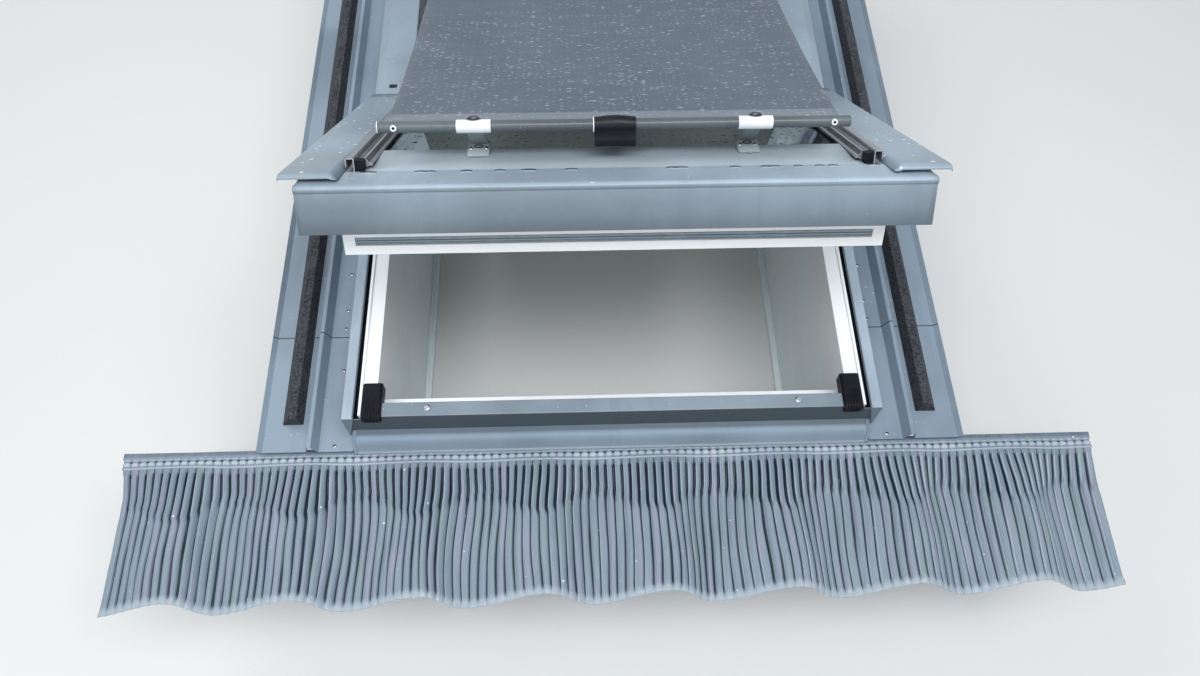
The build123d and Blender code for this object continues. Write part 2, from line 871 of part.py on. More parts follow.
# Awning fabric, from the bar to the casing's mouth, with the length that runs on inside
rest_bar = sash.from_local_coords((0, rod_y, rod_z))
mouth = roof.from_local_coords((0, mouth_y, mouth_z))
chord = (mouth - rest_bar).length
chord_angle = math.degrees(math.atan2(mouth.Z - rest_bar.Z, mouth.Y - rest_bar.Y))
cloth_plane = Plane(
    origin=(-cloth_w / 2, rest_bar.Y, rest_bar.Z),
    x_dir=(0, math.cos(math.radians(chord_angle)), math.sin(math.radians(chord_angle))),
    z_dir=(1, 0, 0),
)
cloth_from = rod_d / 2 + seat
cloth_parts = 10
cloth_points = [
    (
        cloth_from + (chord - cloth_from) * step / cloth_parts,
        -4 * cloth_sag * step / cloth_parts * (1 - step / cloth_parts),
    )
    for step in range(cloth_parts + 1)
]
cloth_points.append((chord + cloth_tail, cloth_lift))
with BuildPart() as awning_cloth:
    with BuildSketch(cloth_plane):
        with BuildLine():
            for lift in (0, cloth_t):
                Polyline(*[(along_chord, hang + lift) for along_chord, hang in cloth_points])
            for end in (cloth_points[0], cloth_points[-1]):
                Line(end, (end[0], end[1] + cloth_t))
        make_face()
    extrude(amount=cloth_w)
    for x, width, reach in (
        (-clamp_x, clamp_w + 2, clamp_r + cap_h + 1.5),
        (0, tab_w + 2, rod_d / 2 + 3),
        (clamp_x, clamp_w + 2, clamp_r + cap_h + 1.5),
    ):
        with BuildSketch(Plane(origin=(x, rest_bar.Y, rest_bar.Z), z_dir=(1, 0, 0))):
            Circle(reach)
        extrude(amount=width / 2, both=True, mode=Mode.SUBTRACT)
keep(awning_cloth.part, "awning_cloth")

# Casing at the head of the window, with its open mouth, and its end caps
casing_low = hood_z + seat
casing_back = mouth_y + casing_d
with BuildPart() as awning_casing:
    with BuildSketch(along(roof, -casing_w / 2)):
        with BuildLine():
            Polyline(
                (mouth_y, mouth_z - mouth_h * 0.4),
                (mouth_y, casing_low),
                (casing_back, casing_low),
                (casing_back, casing_low + casing_h),
                (mouth_y + 8, casing_low + casing_h),
                (mouth_y, casing_low + casing_h - 8),
                (mouth_y, mouth_z + mouth_h * 0.6),
            )
            offset(amount=casing_t, side=Side.LEFT)
        make_face()
    extrude(amount=casing_w)
keep(awning_casing.part, "awning_casing")
roller_y = casing_back - 30
roller_z = casing_low + casing_h - 26
cap_t = 4.0
with BuildPart() as casing_caps:
    for end in (-1, 1):
        with BuildSketch(along(roof, end * casing_w / 2 - (cap_t if end < 0 else 0))):
            with BuildLine():
                Polyline(
                    (mouth_y, casing_low),
                    (casing_back, casing_low),
                    (casing_back, casing_low + casing_h),
                    (mouth_y + 8, casing_low + casing_h),
                    (mouth_y, casing_low + casing_h - 8),
                    close=True,
                )
            make_face()
            with Locations((roller_y, roller_z)):
                Circle(journal_d / 2 + run, mode=Mode.SUBTRACT)
        extrude(amount=cap_t)
keep(casing_caps.part, "casing_caps")

# Roller with its journals, and the fabric wound on it
with BuildPart() as awning_roller:
    with BuildSketch(along(roof, -casing_w / 2 + 2)):
        with Locations((roller_y, roller_z)):
            Circle(roller_d / 2)
    extrude(amount=casing_w - 4)
    with BuildSketch(along(roof, -casing_w / 2 - cap_t)):
        with Locations((roller_y, roller_z)):
            Circle(journal_d / 2)
    extrude(amount=casing_w + 2 * cap_t)
keep(awning_roller.part, "awning_roller")
with BuildPart() as awning_roll:
    with BuildSketch(along(roof, -cloth_w / 2)):
        with Locations((roller_y, roller_z)):
            Circle(roller_d / 2 + roll_t)
            Circle(roller_d / 2, mode=Mode.SUBTRACT)
    extrude(amount=cloth_w)
keep(awning_roll.part, "awning_roll")

# Control bar on the inner face of the top rail, with lugs, and its latch
grip_z = sash_bottom_z - 14
with BuildPart() as control_lugs:
    for x in (-grip_w / 2 - lug_t - seat, grip_w / 2 + seat):
        with BuildSketch(along(sash, x)):
            with Locations((grip_y, (grip_z + sash_bottom_z) / 2)):
                Rectangle(16, sash_bottom_z - grip_z)
            with Locations((grip_y, grip_z)):
                Circle(8)
                Circle(3 + run, mode=Mode.SUBTRACT)
        extrude(amount=lug_t)
keep(control_lugs.part, "control_lugs")
with BuildPart() as control_bar:
    with BuildSketch(along(sash, -grip_w / 2)):
        with Locations((grip_y, grip_z)):
            Circle(grip_d / 2)
        with BuildLine():
            Polyline(
                (grip_y, grip_z + grip_d / 2),
                (grip_y - 34, grip_z + 1),
                (grip_y - 38, grip_z - 4),
                (grip_y - 34, grip_z - 6),
                (grip_y, grip_z - grip_d / 2),
                close=True,
            )
        make_face()
    extrude(amount=grip_w)
    with BuildSketch(along(sash, -grip_w / 2 - lug_t - seat)):
        with Locations((grip_y, grip_z)):
            Circle(3)
    extrude(amount=grip_w + 2 * (lug_t + seat))
keep(control_bar.part, "control_bar")

# Flashing: sill plate, corner pieces, side gutters and head gutter
up_x = timber_x + 0.6
up_end_y = frame_h - cover_t - seat
fold_x = half_w + gutter_w
sill_x = up_x - seat
with BuildPart() as flashing_sill:
    with BuildSketch(along(roof, -sill_x)):
        with BuildLine():
            FilletPolyline(
                (timber_y - 1.2, -16),
                (timber_y - 1.2, -end_flange),
                (sill_y, sill_z),
                (sill_y - 3, sill_z - 1),
                radius=1.2,
            )
            offset(amount=sheet_t, side=Side.LEFT)
        make_face()
    extrude(amount=2 * sill_x)
keep(flashing_sill.part, "flashing_sill")
gutter_profile = [
    (up_x, -20),
    (up_x, gutter_z),
    (fold_x, gutter_z),
    (fold_x + 6, gutter_z + gutter_lip),
    (fold_x + 10, gutter_z + gutter_lip),
    (fold_x + 14, gutter_z + 1),
    (fold_x + 14 + flange_out, gutter_z + 1),
    (fold_x + 20 + flange_out, gutter_z + 6),
]
with BuildPart() as flashing_corner:
    with BuildSketch(across(roof, seam_y)):
        with BuildLine():
            Polyline(*gutter_profile)
            offset(amount=sheet_t, side=Side.LEFT)
        make_face()
    extrude(amount=seam_y - sill_y)
    with BuildSketch(roof.offset(gutter_z + 2)):
        with Locations((up_x, cover_t + seat)):
            Rectangle(10, seam_y, align=(Align.CENTER, Align.MAX))
    extrude(amount=-gutter_z, mode=Mode.SUBTRACT)
keep_pair(flashing_corner.part, "flashing_corner")
with BuildPart() as gutter:
    with BuildSketch(across(roof, frame_h + head_flashing)):
        with BuildLine():
            Polyline(*gutter_profile)
            offset(amount=sheet_t, side=Side.LEFT)
        make_face()
    extrude(amount=frame_h + head_flashing - seam_y - seat)
    with BuildSketch(roof.offset(gutter_z + 2)):
        with Locations((up_x, up_end_y)):
            Rectangle(10, 2 * head_flashing, align=(Align.CENTER, Align.MIN))
    extrude(amount=-gutter_z, mode=Mode.SUBTRACT)
keep_pair(gutter.part, "gutter")
head_x = up_x - seat
with BuildPart() as flashing_head:
    with BuildSketch(along(roof, -head_x)):
        with BuildLine():
            FilletPolyline(
                (frame_h + seat, -side_flange + 20),
                (frame_h + seat, gutter_z),
                (frame_h + head_flashing - 8, gutter_z),
                (frame_h + head_flashing, gutter_z + 6),
                radius=1.2,
            )
            offset(amount=sheet_t, side=Side.LEFT)
        make_face()
    extrude(amount=2 * head_x)
keep(flashing_head.part, "flashing_head")

# Foam strips on the outer flanges of the side gutters
foam_x = fold_x + foam_in
foam_z = gutter_z + 1 + sheet_t + seat
foam_low_y = foam_end
foam_high_y = frame_h - foam_end
with BuildPart() as gutter_foam:
    for side in (-1, 1):
        with BuildSketch(across(roof, foam_high_y)):
            with BuildLine():
                Polyline(
                    (side * foam_x, foam_z),
                    (side * (foam_x + 4), foam_z + foam_h - 2),
                    (side * (foam_x + 14), foam_z + foam_h),
                    (side * (foam_x + 26), foam_z),
                    close=True,
                )
            make_face()
        extrude(amount=foam_high_y - foam_low_y)
keep(gutter_foam.part, "gutter_foam")

# Pleated apron, draped over the waves of the tiles below the window
pleats = int(apron_w / pleat_pitch)
pleat_step = apron_w / (2 * pleats)
rise_part = 0.62


def tile_wave(x):
    """Height of the tile under the apron, from 0 in a trough to 1 on a crest."""
    phase = ((x - tile_shift) / tile_pitch) % 1.0
    if phase < rise_part:
        return (1 - math.cos(math.pi * phase / rise_part)) / 2
    return (1 + math.cos(math.pi * (phase - rise_part) / (1 - rise_part))) / 2


def pleated_edge(base_z, drape):
    """Outline of the pleated sheet at one height of the apron, in (x, z)."""
    upper = []
    lower = []
    for fold in range(2 * pleats + 1):
        x = -apron_w / 2 + fold * pleat_step
        z = base_z + drape * tile_rise * tile_wave(x) + (pleat_depth / 2 if fold % 2 else -pleat_depth / 2)
        upper.append((x, z + sheet_t))
        lower.append((x, z))
    return upper + lower[::-1]


apron_top_z = sill_z - 1 - 2 * sheet_t
apron_rows = [
    (sill_y + 1, apron_top_z - pleat_depth / 2, 0.0),
    (sill_y - 80, apron_z, 1.0),
    (apron_y, apron_z, 1.0),
]
with BuildPart() as apron:
    for row_y, base_z, drape in apron_rows:
        with BuildSketch(across(roof, row_y)):
            with BuildLine():
                Polyline(*pleated_edge(base_z, drape), close=True)
            make_face()
    loft(ruled=True)
keep(apron.part, "apron")

# Steel brackets that fix the frame to the battens
bracket_ys = (bracket_end, frame_h - bracket_end)
hole_gap = 50.0
hole_x = timber_x + bracket_reach * 0.6
screw_r = 4.0
with BuildPart() as fixing_brackets:
    for mid in bracket_ys:
        for side in (-1, 1):
            with BuildSketch(across(roof, mid + bracket_w / 2)):
                with BuildLine():
                    Polyline(
                        (side * timber_x, bracket_z - bracket_leg),
                        (side * timber_x, bracket_z + bracket_t),
                        (side * (timber_x + bracket_reach), bracket_z + bracket_t),
                        (side * (timber_x + bracket_reach), bracket_z),
                        (side * (timber_x + bracket_t), bracket_z),
                        (side * (timber_x + bracket_t), bracket_z - bracket_leg),
                        close=True,
                    )
                make_face()
            extrude(amount=bracket_w)
    with BuildSketch(roof.offset(bracket_z)):
        for mid in bracket_ys:
            with Locations((-hole_x, mid), (hole_x, mid)):
                with GridLocations(0, hole_gap, 1, 2):
                    Circle(hole_d / 2)
    extrude(amount=bracket_t, mode=Mode.SUBTRACT)
keep(fixing_brackets.part, "fixing_brackets")
with BuildPart() as fixing_screws:
    for side in (-1, 1):
        with BuildSketch(along(roof, side * (timber_x + bracket_t))):
            for mid in bracket_ys:
                with Locations((mid, bracket_z - bracket_leg * 0.6)):
                    with GridLocations(hole_gap, 0, 2, 1):
                        RegularPolygon(screw_r, 6)
        extrude(amount=side * 2.5)
keep(fixing_screws.part, "fixing_screws")

# Screws: pan heads on the bottom frame cover and on the bracket feet
cover_screw_x = plug_in_x - 55
head_r = 4.0
with BuildPart() as cover_screws:
    with BuildSketch(roof):
        with Locations((-cover_screw_x, end_cover_w * 0.6), (cover_screw_x, end_cover_w * 0.6)):
            RegularPolygon(head_r, 12)
    extrude(amount=1.6)
    chamfer(cover_screws.edges().group_by(Axis.Z)[-1], length=0.7)
keep(cover_screws.part, "cover_screws")
foot_plane = sash * Location((0, foot_y, foot_z + 1), (cover_slope, 0, 0)) * Location((0, 0, 1))
with BuildPart() as bracket_screws:
    with BuildSketch(foot_plane):
        for side in (-1, 1):
            with Locations((side * clamp_x - 8, 1), (side * clamp_x + 8, 1)):
                RegularPolygon(2.8, 8)
    extrude(amount=1.4)
keep(bracket_screws.part, "bracket_screws")
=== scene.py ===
import bpy
import bmesh
import json
import math
from mathutils import Matrix, Vector


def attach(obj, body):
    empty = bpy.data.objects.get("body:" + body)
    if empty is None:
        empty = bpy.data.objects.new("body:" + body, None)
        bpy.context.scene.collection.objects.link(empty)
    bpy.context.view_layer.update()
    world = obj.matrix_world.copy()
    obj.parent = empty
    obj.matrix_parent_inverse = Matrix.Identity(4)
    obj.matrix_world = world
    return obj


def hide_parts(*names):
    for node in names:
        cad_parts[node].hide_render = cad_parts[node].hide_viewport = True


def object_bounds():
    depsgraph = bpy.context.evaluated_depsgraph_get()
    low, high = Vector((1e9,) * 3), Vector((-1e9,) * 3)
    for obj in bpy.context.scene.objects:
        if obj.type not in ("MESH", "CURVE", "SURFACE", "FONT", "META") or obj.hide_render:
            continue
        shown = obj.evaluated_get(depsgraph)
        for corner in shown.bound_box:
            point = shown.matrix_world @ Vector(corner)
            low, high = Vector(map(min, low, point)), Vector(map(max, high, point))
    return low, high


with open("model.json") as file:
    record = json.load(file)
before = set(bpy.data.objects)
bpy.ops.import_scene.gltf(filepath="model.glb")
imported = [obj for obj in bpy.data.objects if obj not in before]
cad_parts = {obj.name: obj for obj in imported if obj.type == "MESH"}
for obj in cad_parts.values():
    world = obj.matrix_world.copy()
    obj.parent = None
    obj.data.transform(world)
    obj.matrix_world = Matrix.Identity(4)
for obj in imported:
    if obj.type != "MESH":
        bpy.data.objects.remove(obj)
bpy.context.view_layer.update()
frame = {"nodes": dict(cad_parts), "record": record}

# Places
# The cover plane is the top of the frame covers; the row's origin lies under it.
COVER_Y = -0.490
COVER_Z = 0.090
PIVOT = Vector((0.0, 0.002, 0.090))
PIVOT_REACH = 0.492
OPEN = math.radians(38.5)
# On the sash, in millimetres: the awning bar's middle, the clamps and ring screws along
# it, and the sloping top of the bottom cover, from its crease to its upper edge.
BAR_Y, BAR_Z = 67.0, 50.0
CLAMPS = (-143.0, 143.0)
RINGS = (-223.0, 223.0)
CREASE_Y, CREASE_Z = 44.0, 10.5
UPPER_Y, UPPER_Z = 118.0, 16.0
SLOPE = (UPPER_Z - CREASE_Z) / (UPPER_Y - CREASE_Y)


def on_roof(x, y, z):
    """Point given in millimetres from the frame's lower edge and the covers' top plane."""
    return Vector((x / 1000, COVER_Y + y / 1000, COVER_Z + z / 1000))


def on_sash(x, y, z):
    """The same for a point of the closed sash, carried to where the open sash holds it."""
    dy, dz = y / 1000 - PIVOT_REACH, z / 1000
    return Vector(
        (
            x / 1000,
            PIVOT.y + dy * math.cos(OPEN) + dz * math.sin(OPEN),
            PIVOT.z - dy * math.sin(OPEN) + dz * math.cos(OPEN),
        )
    )


def cover_top(y):
    """Height of the bottom cover's sloping top on the sash."""
    return CREASE_Z + (y - CREASE_Y) * SLOPE


SASH_UP = on_sash(0, 0, 1) - on_sash(0, 0, 0)
SASH_FRONT = on_sash(0, -1, 0) - on_sash(0, 0, 0)


# Node maths
class Value:
    """A socket that can be used in a Python expression; each operation adds a Math node."""

    def __init__(self, nodes, socket):
        self.nodes = nodes
        self.socket = socket

    def _math(operation, swapped=False):
        """A method for one operation; swapped puts this value behind the other one."""

        def made(self, *others):
            given = (*others, self) if swapped else (self, *others)
            sockets = dict(enumerate(given))
            return self.nodes.node("ShaderNodeMath", sockets, operation=operation)

        return made

    __add__ = __radd__ = _math("ADD")
    __sub__ = _math("SUBTRACT")
    __rsub__ = _math("SUBTRACT", swapped=True)
    __mul__ = _math("MULTIPLY")
    __truediv__ = _math("DIVIDE")
    __pow__ = _math("POWER")
    __lt__ = _math("LESS_THAN")
    __gt__ = _math("GREATER_THAN")
    sin = _math("SINE")
    fraction = _math("FRACT")
    absolute = _math("ABSOLUTE")
    least = _math("MINIMUM")
    most = _math("MAXIMUM")

    def between(self, low, high, to_low=0.0, to_high=1.0, smooth=True):
        """This value remapped from low..high to to_low..to_high, clamped at both ends."""
        sockets = {0: self, 1: low, 2: high, 3: to_low, 4: to_high}
        kind = "SMOOTHSTEP" if smooth else "LINEAR"
        return self.nodes.node("ShaderNodeMapRange", sockets, interpolation_type=kind)

    def beside(self, output):
        """Another output of the same node."""
        return Value(self.nodes, self.socket.node.outputs[output])


class Nodes:
    """A node tree with one method that makes any node."""

    def __init__(self, tree):
        self.tree = tree

    def node(self, kind, sockets=None, out=0, **settings):
        """A node with its settings; each socket takes a constant, a link or a list of links."""
        made = self.tree.nodes.new(kind)
        for name, setting in settings.items():
            setattr(made, name, setting)
        for name, value in (sockets or {}).items():
            socket = made.inputs[name]
            if isinstance(value, (Value, list)):
                for one in value if isinstance(value, list) else [value]:
                    self.tree.links.new(one.socket, socket)
            elif socket.type == "RGBA" and len(value) == 3:
                socket.default_value = (*value, 1.0)
            else:
                socket.default_value = value
        return Value(self, made.outputs[out]) if made.outputs else made

    def split(self, vector):
        """The three parts of a vector."""
        parts = self.node("ShaderNodeSeparateXYZ", {0: vector})
        return [parts.beside(i) for i in range(3)]


class Finish(Nodes):
    """A surface finish: a material whose patterns are read from Object coordinates."""

    def __init__(self, name):
        self.material = bpy.data.materials.new(name)
        self.material.use_nodes = True
        super().__init__(self.material.node_tree)
        self.tree.nodes.clear()
        self.place = self.node("ShaderNodeTexCoord", out="Object")
        self.colour = self.bumps = None

    def scaled(self, x, y, z, turn=0.0):
        """Object coordinates turned about X and scaled, for a pattern that runs one way."""
        sockets = {"Vector": self.place, "Rotation": (turn, 0.0, 0.0), "Scale": (x, y, z)}
        return self.node("ShaderNodeMapping", sockets)

    def noise(self, scale, detail, roughness=0.5, where=None):
        sockets = {"Scale": scale, "Detail": detail, "Roughness": roughness}
        sockets["Vector"] = where or self.place
        return self.node("ShaderNodeTexNoise", sockets)

    def mix(self, factor, first, second):
        """Two colours mixed by a factor; each is a colour or a linked value."""
        sockets = {0: factor, 6: first, 7: second}
        return self.node("ShaderNodeMix", sockets, 2, data_type="RGBA")

    def lay(self, factor, colour):
        """Lay a colour over what the finish has so far."""
        self.colour = self.mix(factor, self.colour, colour)

    def facing(self, axis, low, high):
        """0 to 1 as the surface's normal along an axis goes from low to high."""
        normal = self.node("ShaderNodeTexCoord", out="Normal")
        return self.split(normal)[axis].between(low, high)

    def drops(self, pitch, share, radius):
        """Raindrops: a mask and a height, from cells of one pitch of which a share holds a drop."""
        sockets = {"Vector": self.place, "Scale": 1.0 / pitch, "Randomness": 0.9}
        apart = self.node("ShaderNodeTexVoronoi", sockets)
        luck = self.split(apart.beside("Color"))
        size = luck[1] * (radius * 0.6) + radius * 0.4
        inside = (1.0 - apart / size).most(0.0) * (luck[0] < share)
        return inside.between(0.0, 0.25), inside ** 0.5

    def soften(self, radius):
        """Round the edges in the shading, as a bent or sanded edge is."""
        self.bumps = self.node("ShaderNodeBevel", {"Radius": radius}, samples=6)

    def bump(self, height, distance, strength):
        sockets = {"Height": height, "Distance": distance, "Strength": strength}
        if self.bumps:
            sockets["Normal"] = self.bumps
        self.bumps = self.node("ShaderNodeBump", sockets)

    def done(self, roughness, metallic=0.0, **fixed):
        """The finished material; fixed gives the shader's other sockets by name."""
        sockets = {"Base Color": self.colour, "Roughness": roughness, "Metallic": metallic}
        for name, value in fixed.items():
            sockets[name.replace("_", " ").title().replace("Ior", "IOR")] = value
        if self.bumps:
            sockets["Normal"] = self.bumps
        shader = self.node("ShaderNodeBsdfPrincipled", sockets)
        self.node("ShaderNodeOutputMaterial", {0: shader})
        return self.material


# Finishes
# Y runs up the roof and Z out of it; these number the parts of a vector.
Y, Z = 1, 2


def toned(colour, factor, more=0.0):
    """The colour made darker or lighter."""
    return tuple(min(c * factor + more, 1.0) for c in colour)


def powder_coat(
    name, colour, wet=1.0, drop_pitch=0.0085, drop_share=0.22, roughness=0.4,
    specks=0.10, speck_size=0.10, crease=False, painted_front_shade=0.0, joint=False, painted_sill_light=False,
):
    """Blue grey powder coat, clouded and filmed in patches, with raindrops on what faces up; the
    drops and pale specks are painted lighter as a painted reflection of the sky.
    """
    f = Finish(name)
    cloud = f.noise(6.0, 3.0)
    fine = f.noise(900.0, 1.0)
    film = f.noise(38.0, 4.0, 0.65)
    runs = f.noise(1.0, 3.0, 0.6, f.scaled(55.0, 7.0, 7.0))
    up = f.facing(Z, 0.55, 0.85)
    small, small_dome = f.drops(drop_pitch, drop_share, 0.24)
    big, big_dome = f.drops(drop_pitch * 3.1, drop_share * 1.2, 0.15)
    drop = small.most(big) * up * wet
    speck, _ = f.drops(drop_pitch * 1.6, specks, speck_size)
    f.colour = f.mix(cloud.between(0.35, 0.65), toned(colour, 0.86), toned(colour, 1.12, 0.010))
    f.lay(runs.between(0.50, 0.72) * 0.22, toned(colour, 0.72))
    f.lay(film.between(0.52, 0.75) * 0.22, toned(colour, 1.2, 0.03))
    # painted reflection: the drops and the pale specks are coloured lighter, as the sky's glint on
    # water
    f.lay(drop * 0.45, toned(colour, 1.5, 0.16))
    f.lay(speck * wet * 0.9, (0.78, 0.81, 0.83))
    if painted_front_shade:
        # painted shade on the upright front faces, which see only the dark wet roof
        f.lay(f.facing(Y, -0.45, -0.85) * painted_front_shade, toned(colour, 0.22))
    if painted_sill_light:
        # painted shade and highlight: the plate is painted darkest under the cover, with a painted
        # highlight band below it and painted shade towards its edge
        down = COVER_Y - f.split(f.place)[Y]
        painted_gleam = (1.0 - (down - 0.0055).absolute() / 0.004).between(0.0, 1.0)
        f.lay(down.between(0.004, 0.0005) * 0.7, toned(colour, 0.4))
        f.lay(painted_gleam * 0.5, toned(colour, 1.55))
        f.lay(down.between(0.008, 0.013) * 0.35, toned(colour, 0.6))
    if joint:
        # painted shadow of the step where two lengths of flashing overlap
        overlap = COVER_Y + 0.145
        apart = (f.split(f.place)[Y] - overlap).absolute()
        f.lay(apart.between(0.0011, 0.0005) * 0.85, (0.03, 0.04, 0.055))
    f.soften(0.0011)
    f.bump(cloud, 0.0008, 0.25)
    f.bump(fine, 0.00004, 0.5)
    if crease:
        puddles_and_painted_light(f)
    f.bump(small_dome.most(big_dome) * up * wet, 0.0010, 0.9)
    rough = cloud.between(0.3, 0.7, roughness - 0.06, roughness + 0.08) - drop * 0.28
    return f.done(rough, specular_ior_level=0.35)


def puddles_and_painted_light(f):
    """Painted light and rain on the sash cover: the part above the crease is painted lighter, and
    rain lying along the crease is dark with a painted highlight along its lower edge.
    """
    across, beyond, _ = f.split(f.node("ShaderNodeUVMap", uv_map="cut"))
    # painted light: the upper part of the cover, above the crease, is coloured lighter
    painted_light_upper = beyond.between(0.0005, 0.004)
    f.lay(painted_light_upper * 0.50, (0.56, 0.64, 0.69))
    for pitch, shift, long, share in ((0.034, 0.0, 0.13, 0.30), (0.051, 0.4, 0.08, 0.35)):
        place = across / pitch + shift
        cell = place - place.fraction()
        luck = ((cell * 12.9898).sin() * 43758.5453).fraction()
        middle = 0.5 + (luck - 0.5) * 0.4
        apart = (place.fraction() - middle) / (luck * 0.10 + long)
        bow = beyond + 0.0010 + apart * apart * 0.0030 - luck * 0.002
        inside = (1.0 - apart.absolute()).between(0.0, 0.25) * (luck > share)
        dark = (1.0 - bow.absolute() / 0.0032).between(0.0, 0.5) * inside
        pale = (1.0 - (bow + 0.0050).absolute() / 0.0022).between(0.0, 0.6) * inside
        f.lay(dark * 0.85, (0.05, 0.07, 0.095))
        # painted highlight: a pale line along each puddle's lower edge
        f.lay(pale * 0.5, (0.62, 0.68, 0.73))


def white_paint(name, colour, grain=0.00012, stain=0.10):
    """Satin white paint, with the grain of what is under it and a little grime in patches."""
    f = Finish(name)
    grain_lines = f.noise(1.0, 4.0, 0.6, f.scaled(260.0, 14.0, 260.0))
    patch = f.noise(11.0, 4.0, 0.6)
    speck = f.noise(420.0, 2.0)
    f.colour = f.mix(patch.between(0.35, 0.7) * 0.5, colour, toned(colour, 0.93))
    f.lay(speck.between(0.66, 0.74) * stain, (0.35, 0.34, 0.31))
    f.soften(0.0012)
    f.bump(grain_lines, grain, 0.6)
    return f.done(patch.between(0.3, 0.7, 0.30, 0.44))


def bare_metal(name, colour, turn, roughness, lines=900.0):
    """Drawn aluminium whose die lines run along its length."""
    f = Finish(name)
    line = f.noise(1.0, 3.0, 0.7, f.scaled(lines, 6.0, lines, turn))
    patch = f.noise(30.0, 3.0)
    f.colour = f.mix(line.between(0.35, 0.68), toned(colour, 0.72), colour)
    f.lay(patch.between(0.5, 0.75) * 0.4, toned(colour, 0.6))
    f.bump(line, 0.0001, 0.7)
    return f.done(line.between(0.3, 0.7, roughness - 0.08, roughness + 0.12), 1.0)


def rubber(name, colour, roughness, shine=0.35):
    """Moulded rubber, dusted grey in its grain."""
    f = Finish(name)
    grain = f.noise(700.0, 3.0)
    bloom = f.noise(60.0, 3.0)
    f.colour = f.mix(bloom.between(0.45, 0.75) * 0.6, colour, toned(colour, 1.4, 0.006))
    f.soften(0.0006)
    f.bump(grain, 0.00015, 0.6)
    rough = bloom.between(0.3, 0.7, roughness - 0.1, roughness + 0.1)
    return f.done(rough, specular_ior_level=shine)


def plastic(name, colour, roughness):
    """Moulded plastic with a fine grain."""
    f = Finish(name)
    grain = f.noise(1300.0, 2.0)
    cloud = f.noise(40.0, 2.0)
    f.colour = f.mix(cloud.between(0.4, 0.7), toned(colour, 0.9), colour)
    f.bump(grain, 0.00005, 0.5)
    return f.done(cloud.between(0.3, 0.7, roughness - 0.06, roughness + 0.08))


def clear_glass(name, tint):
    """Glass, with raindrops standing on its outer face, painted dark as painted shade."""
    f = Finish(name)
    haze = f.noise(25.0, 3.0)
    small, small_dome = f.drops(0.0062, 0.55, 0.34)
    big, big_dome = f.drops(0.014, 0.45, 0.26)
    up = f.facing(Z, 0.5, 0.8)
    f.colour = f.mix(haze, tint, toned(tint, 0.94))
    # painted shade: the clear drops are coloured dark
    f.lay(small.most(big) * up * 0.9, (0.06, 0.09, 0.085))
    f.bump(small_dome.most(big_dome) * up, 0.0013, 1.0)
    return f.done(haze.between(0.4, 0.8, 0.0, 0.03), transmission_weight=1.0, ior=1.5)


def wet_mesh(name):
    """Close dark blind mesh, wet, with a painted sheen in patches, short dashes of rain across it
    painted pale as glints, and a welded hem.
    """
    thread_pitch = 0.0011
    weld_place = 0.030
    f = Finish(name)
    uv = f.node("ShaderNodeUVMap", uv_map="cut")
    across, along, _ = f.split(uv)

    def stretched(x, y, shift=(0.0, 0.0, 0.0)):
        sockets = {"Vector": uv, "Scale": (x, y, 1.0), "Location": shift}
        return f.node("ShaderNodeMapping", sockets)

    weft, warp = ((run * (math.pi * 2 / thread_pitch)).sin() for run in (along, across))
    weave = (weft * warp) * 0.5 + 0.5
    patch = f.noise(7.0, 3.0)
    soak_and_sheen = f.noise(1.0, 4.0, 0.6, stretched(16.0, 60.0))
    f.colour = f.mix(patch.between(0.35, 0.7), (0.078, 0.106, 0.142), (0.098, 0.128, 0.166))
    # painted sheen: the soaked patches are coloured lighter
    f.lay(soak_and_sheen.between(0.45, 0.7) * 0.30, (0.140, 0.172, 0.212))
    f.lay(weave * 0.35, (0.055, 0.070, 0.092))
    hem = along.between(weld_place - 0.0005, weld_place + 0.0005, 1.0, 0.0, False)
    weld = (1.0 - (along - weld_place).absolute() / 0.0012).most(0.0)
    f.lay(hem * 0.6, (0.215, 0.250, 0.290))
    f.lay(weld * 0.6, (0.06, 0.075, 0.10))
    dashes = []
    for pitch, stretch, share in ((0.0070, 3.4, 0.50), (0.0115, 4.6, 0.26)):
        where = stretched(1 / pitch, stretch / pitch, (3.1, share, 0.0))
        sockets = {"Vector": where, "Scale": 1.0, "Randomness": 1.0}
        cell = f.node("ShaderNodeTexVoronoi", sockets)
        luck = f.split(cell.beside("Color"))
        dash = (1.0 - cell / (luck[1] * 0.24 + 0.12)).most(0.0)
        dashes.append(dash * (luck[0] < share))
    # the rain lies thickest to the right and near the bar
    shower = patch * 0.5 + across + along.between(0.40, 0.25) * 0.5
    wet = dashes[0].most(dashes[1]) * soak_and_sheen.between(0.36, 0.56) * shower.between(0.10, 0.55)
    # painted highlight: the rain dashes are coloured pale, as glints of the sky on water
    f.lay(wet.between(0.0, 0.35) * 0.70, (0.56, 0.61, 0.65))
    f.bump(weave, 0.00018, 0.7)
    f.bump(hem + wet, 0.0003, 0.6)
    rough = 0.55 - wet.between(0.0, 0.4) * 0.3
    return f.done(rough, specular_ior_level=0.3, sheen_weight=0.15, sheen_roughness=0.4)


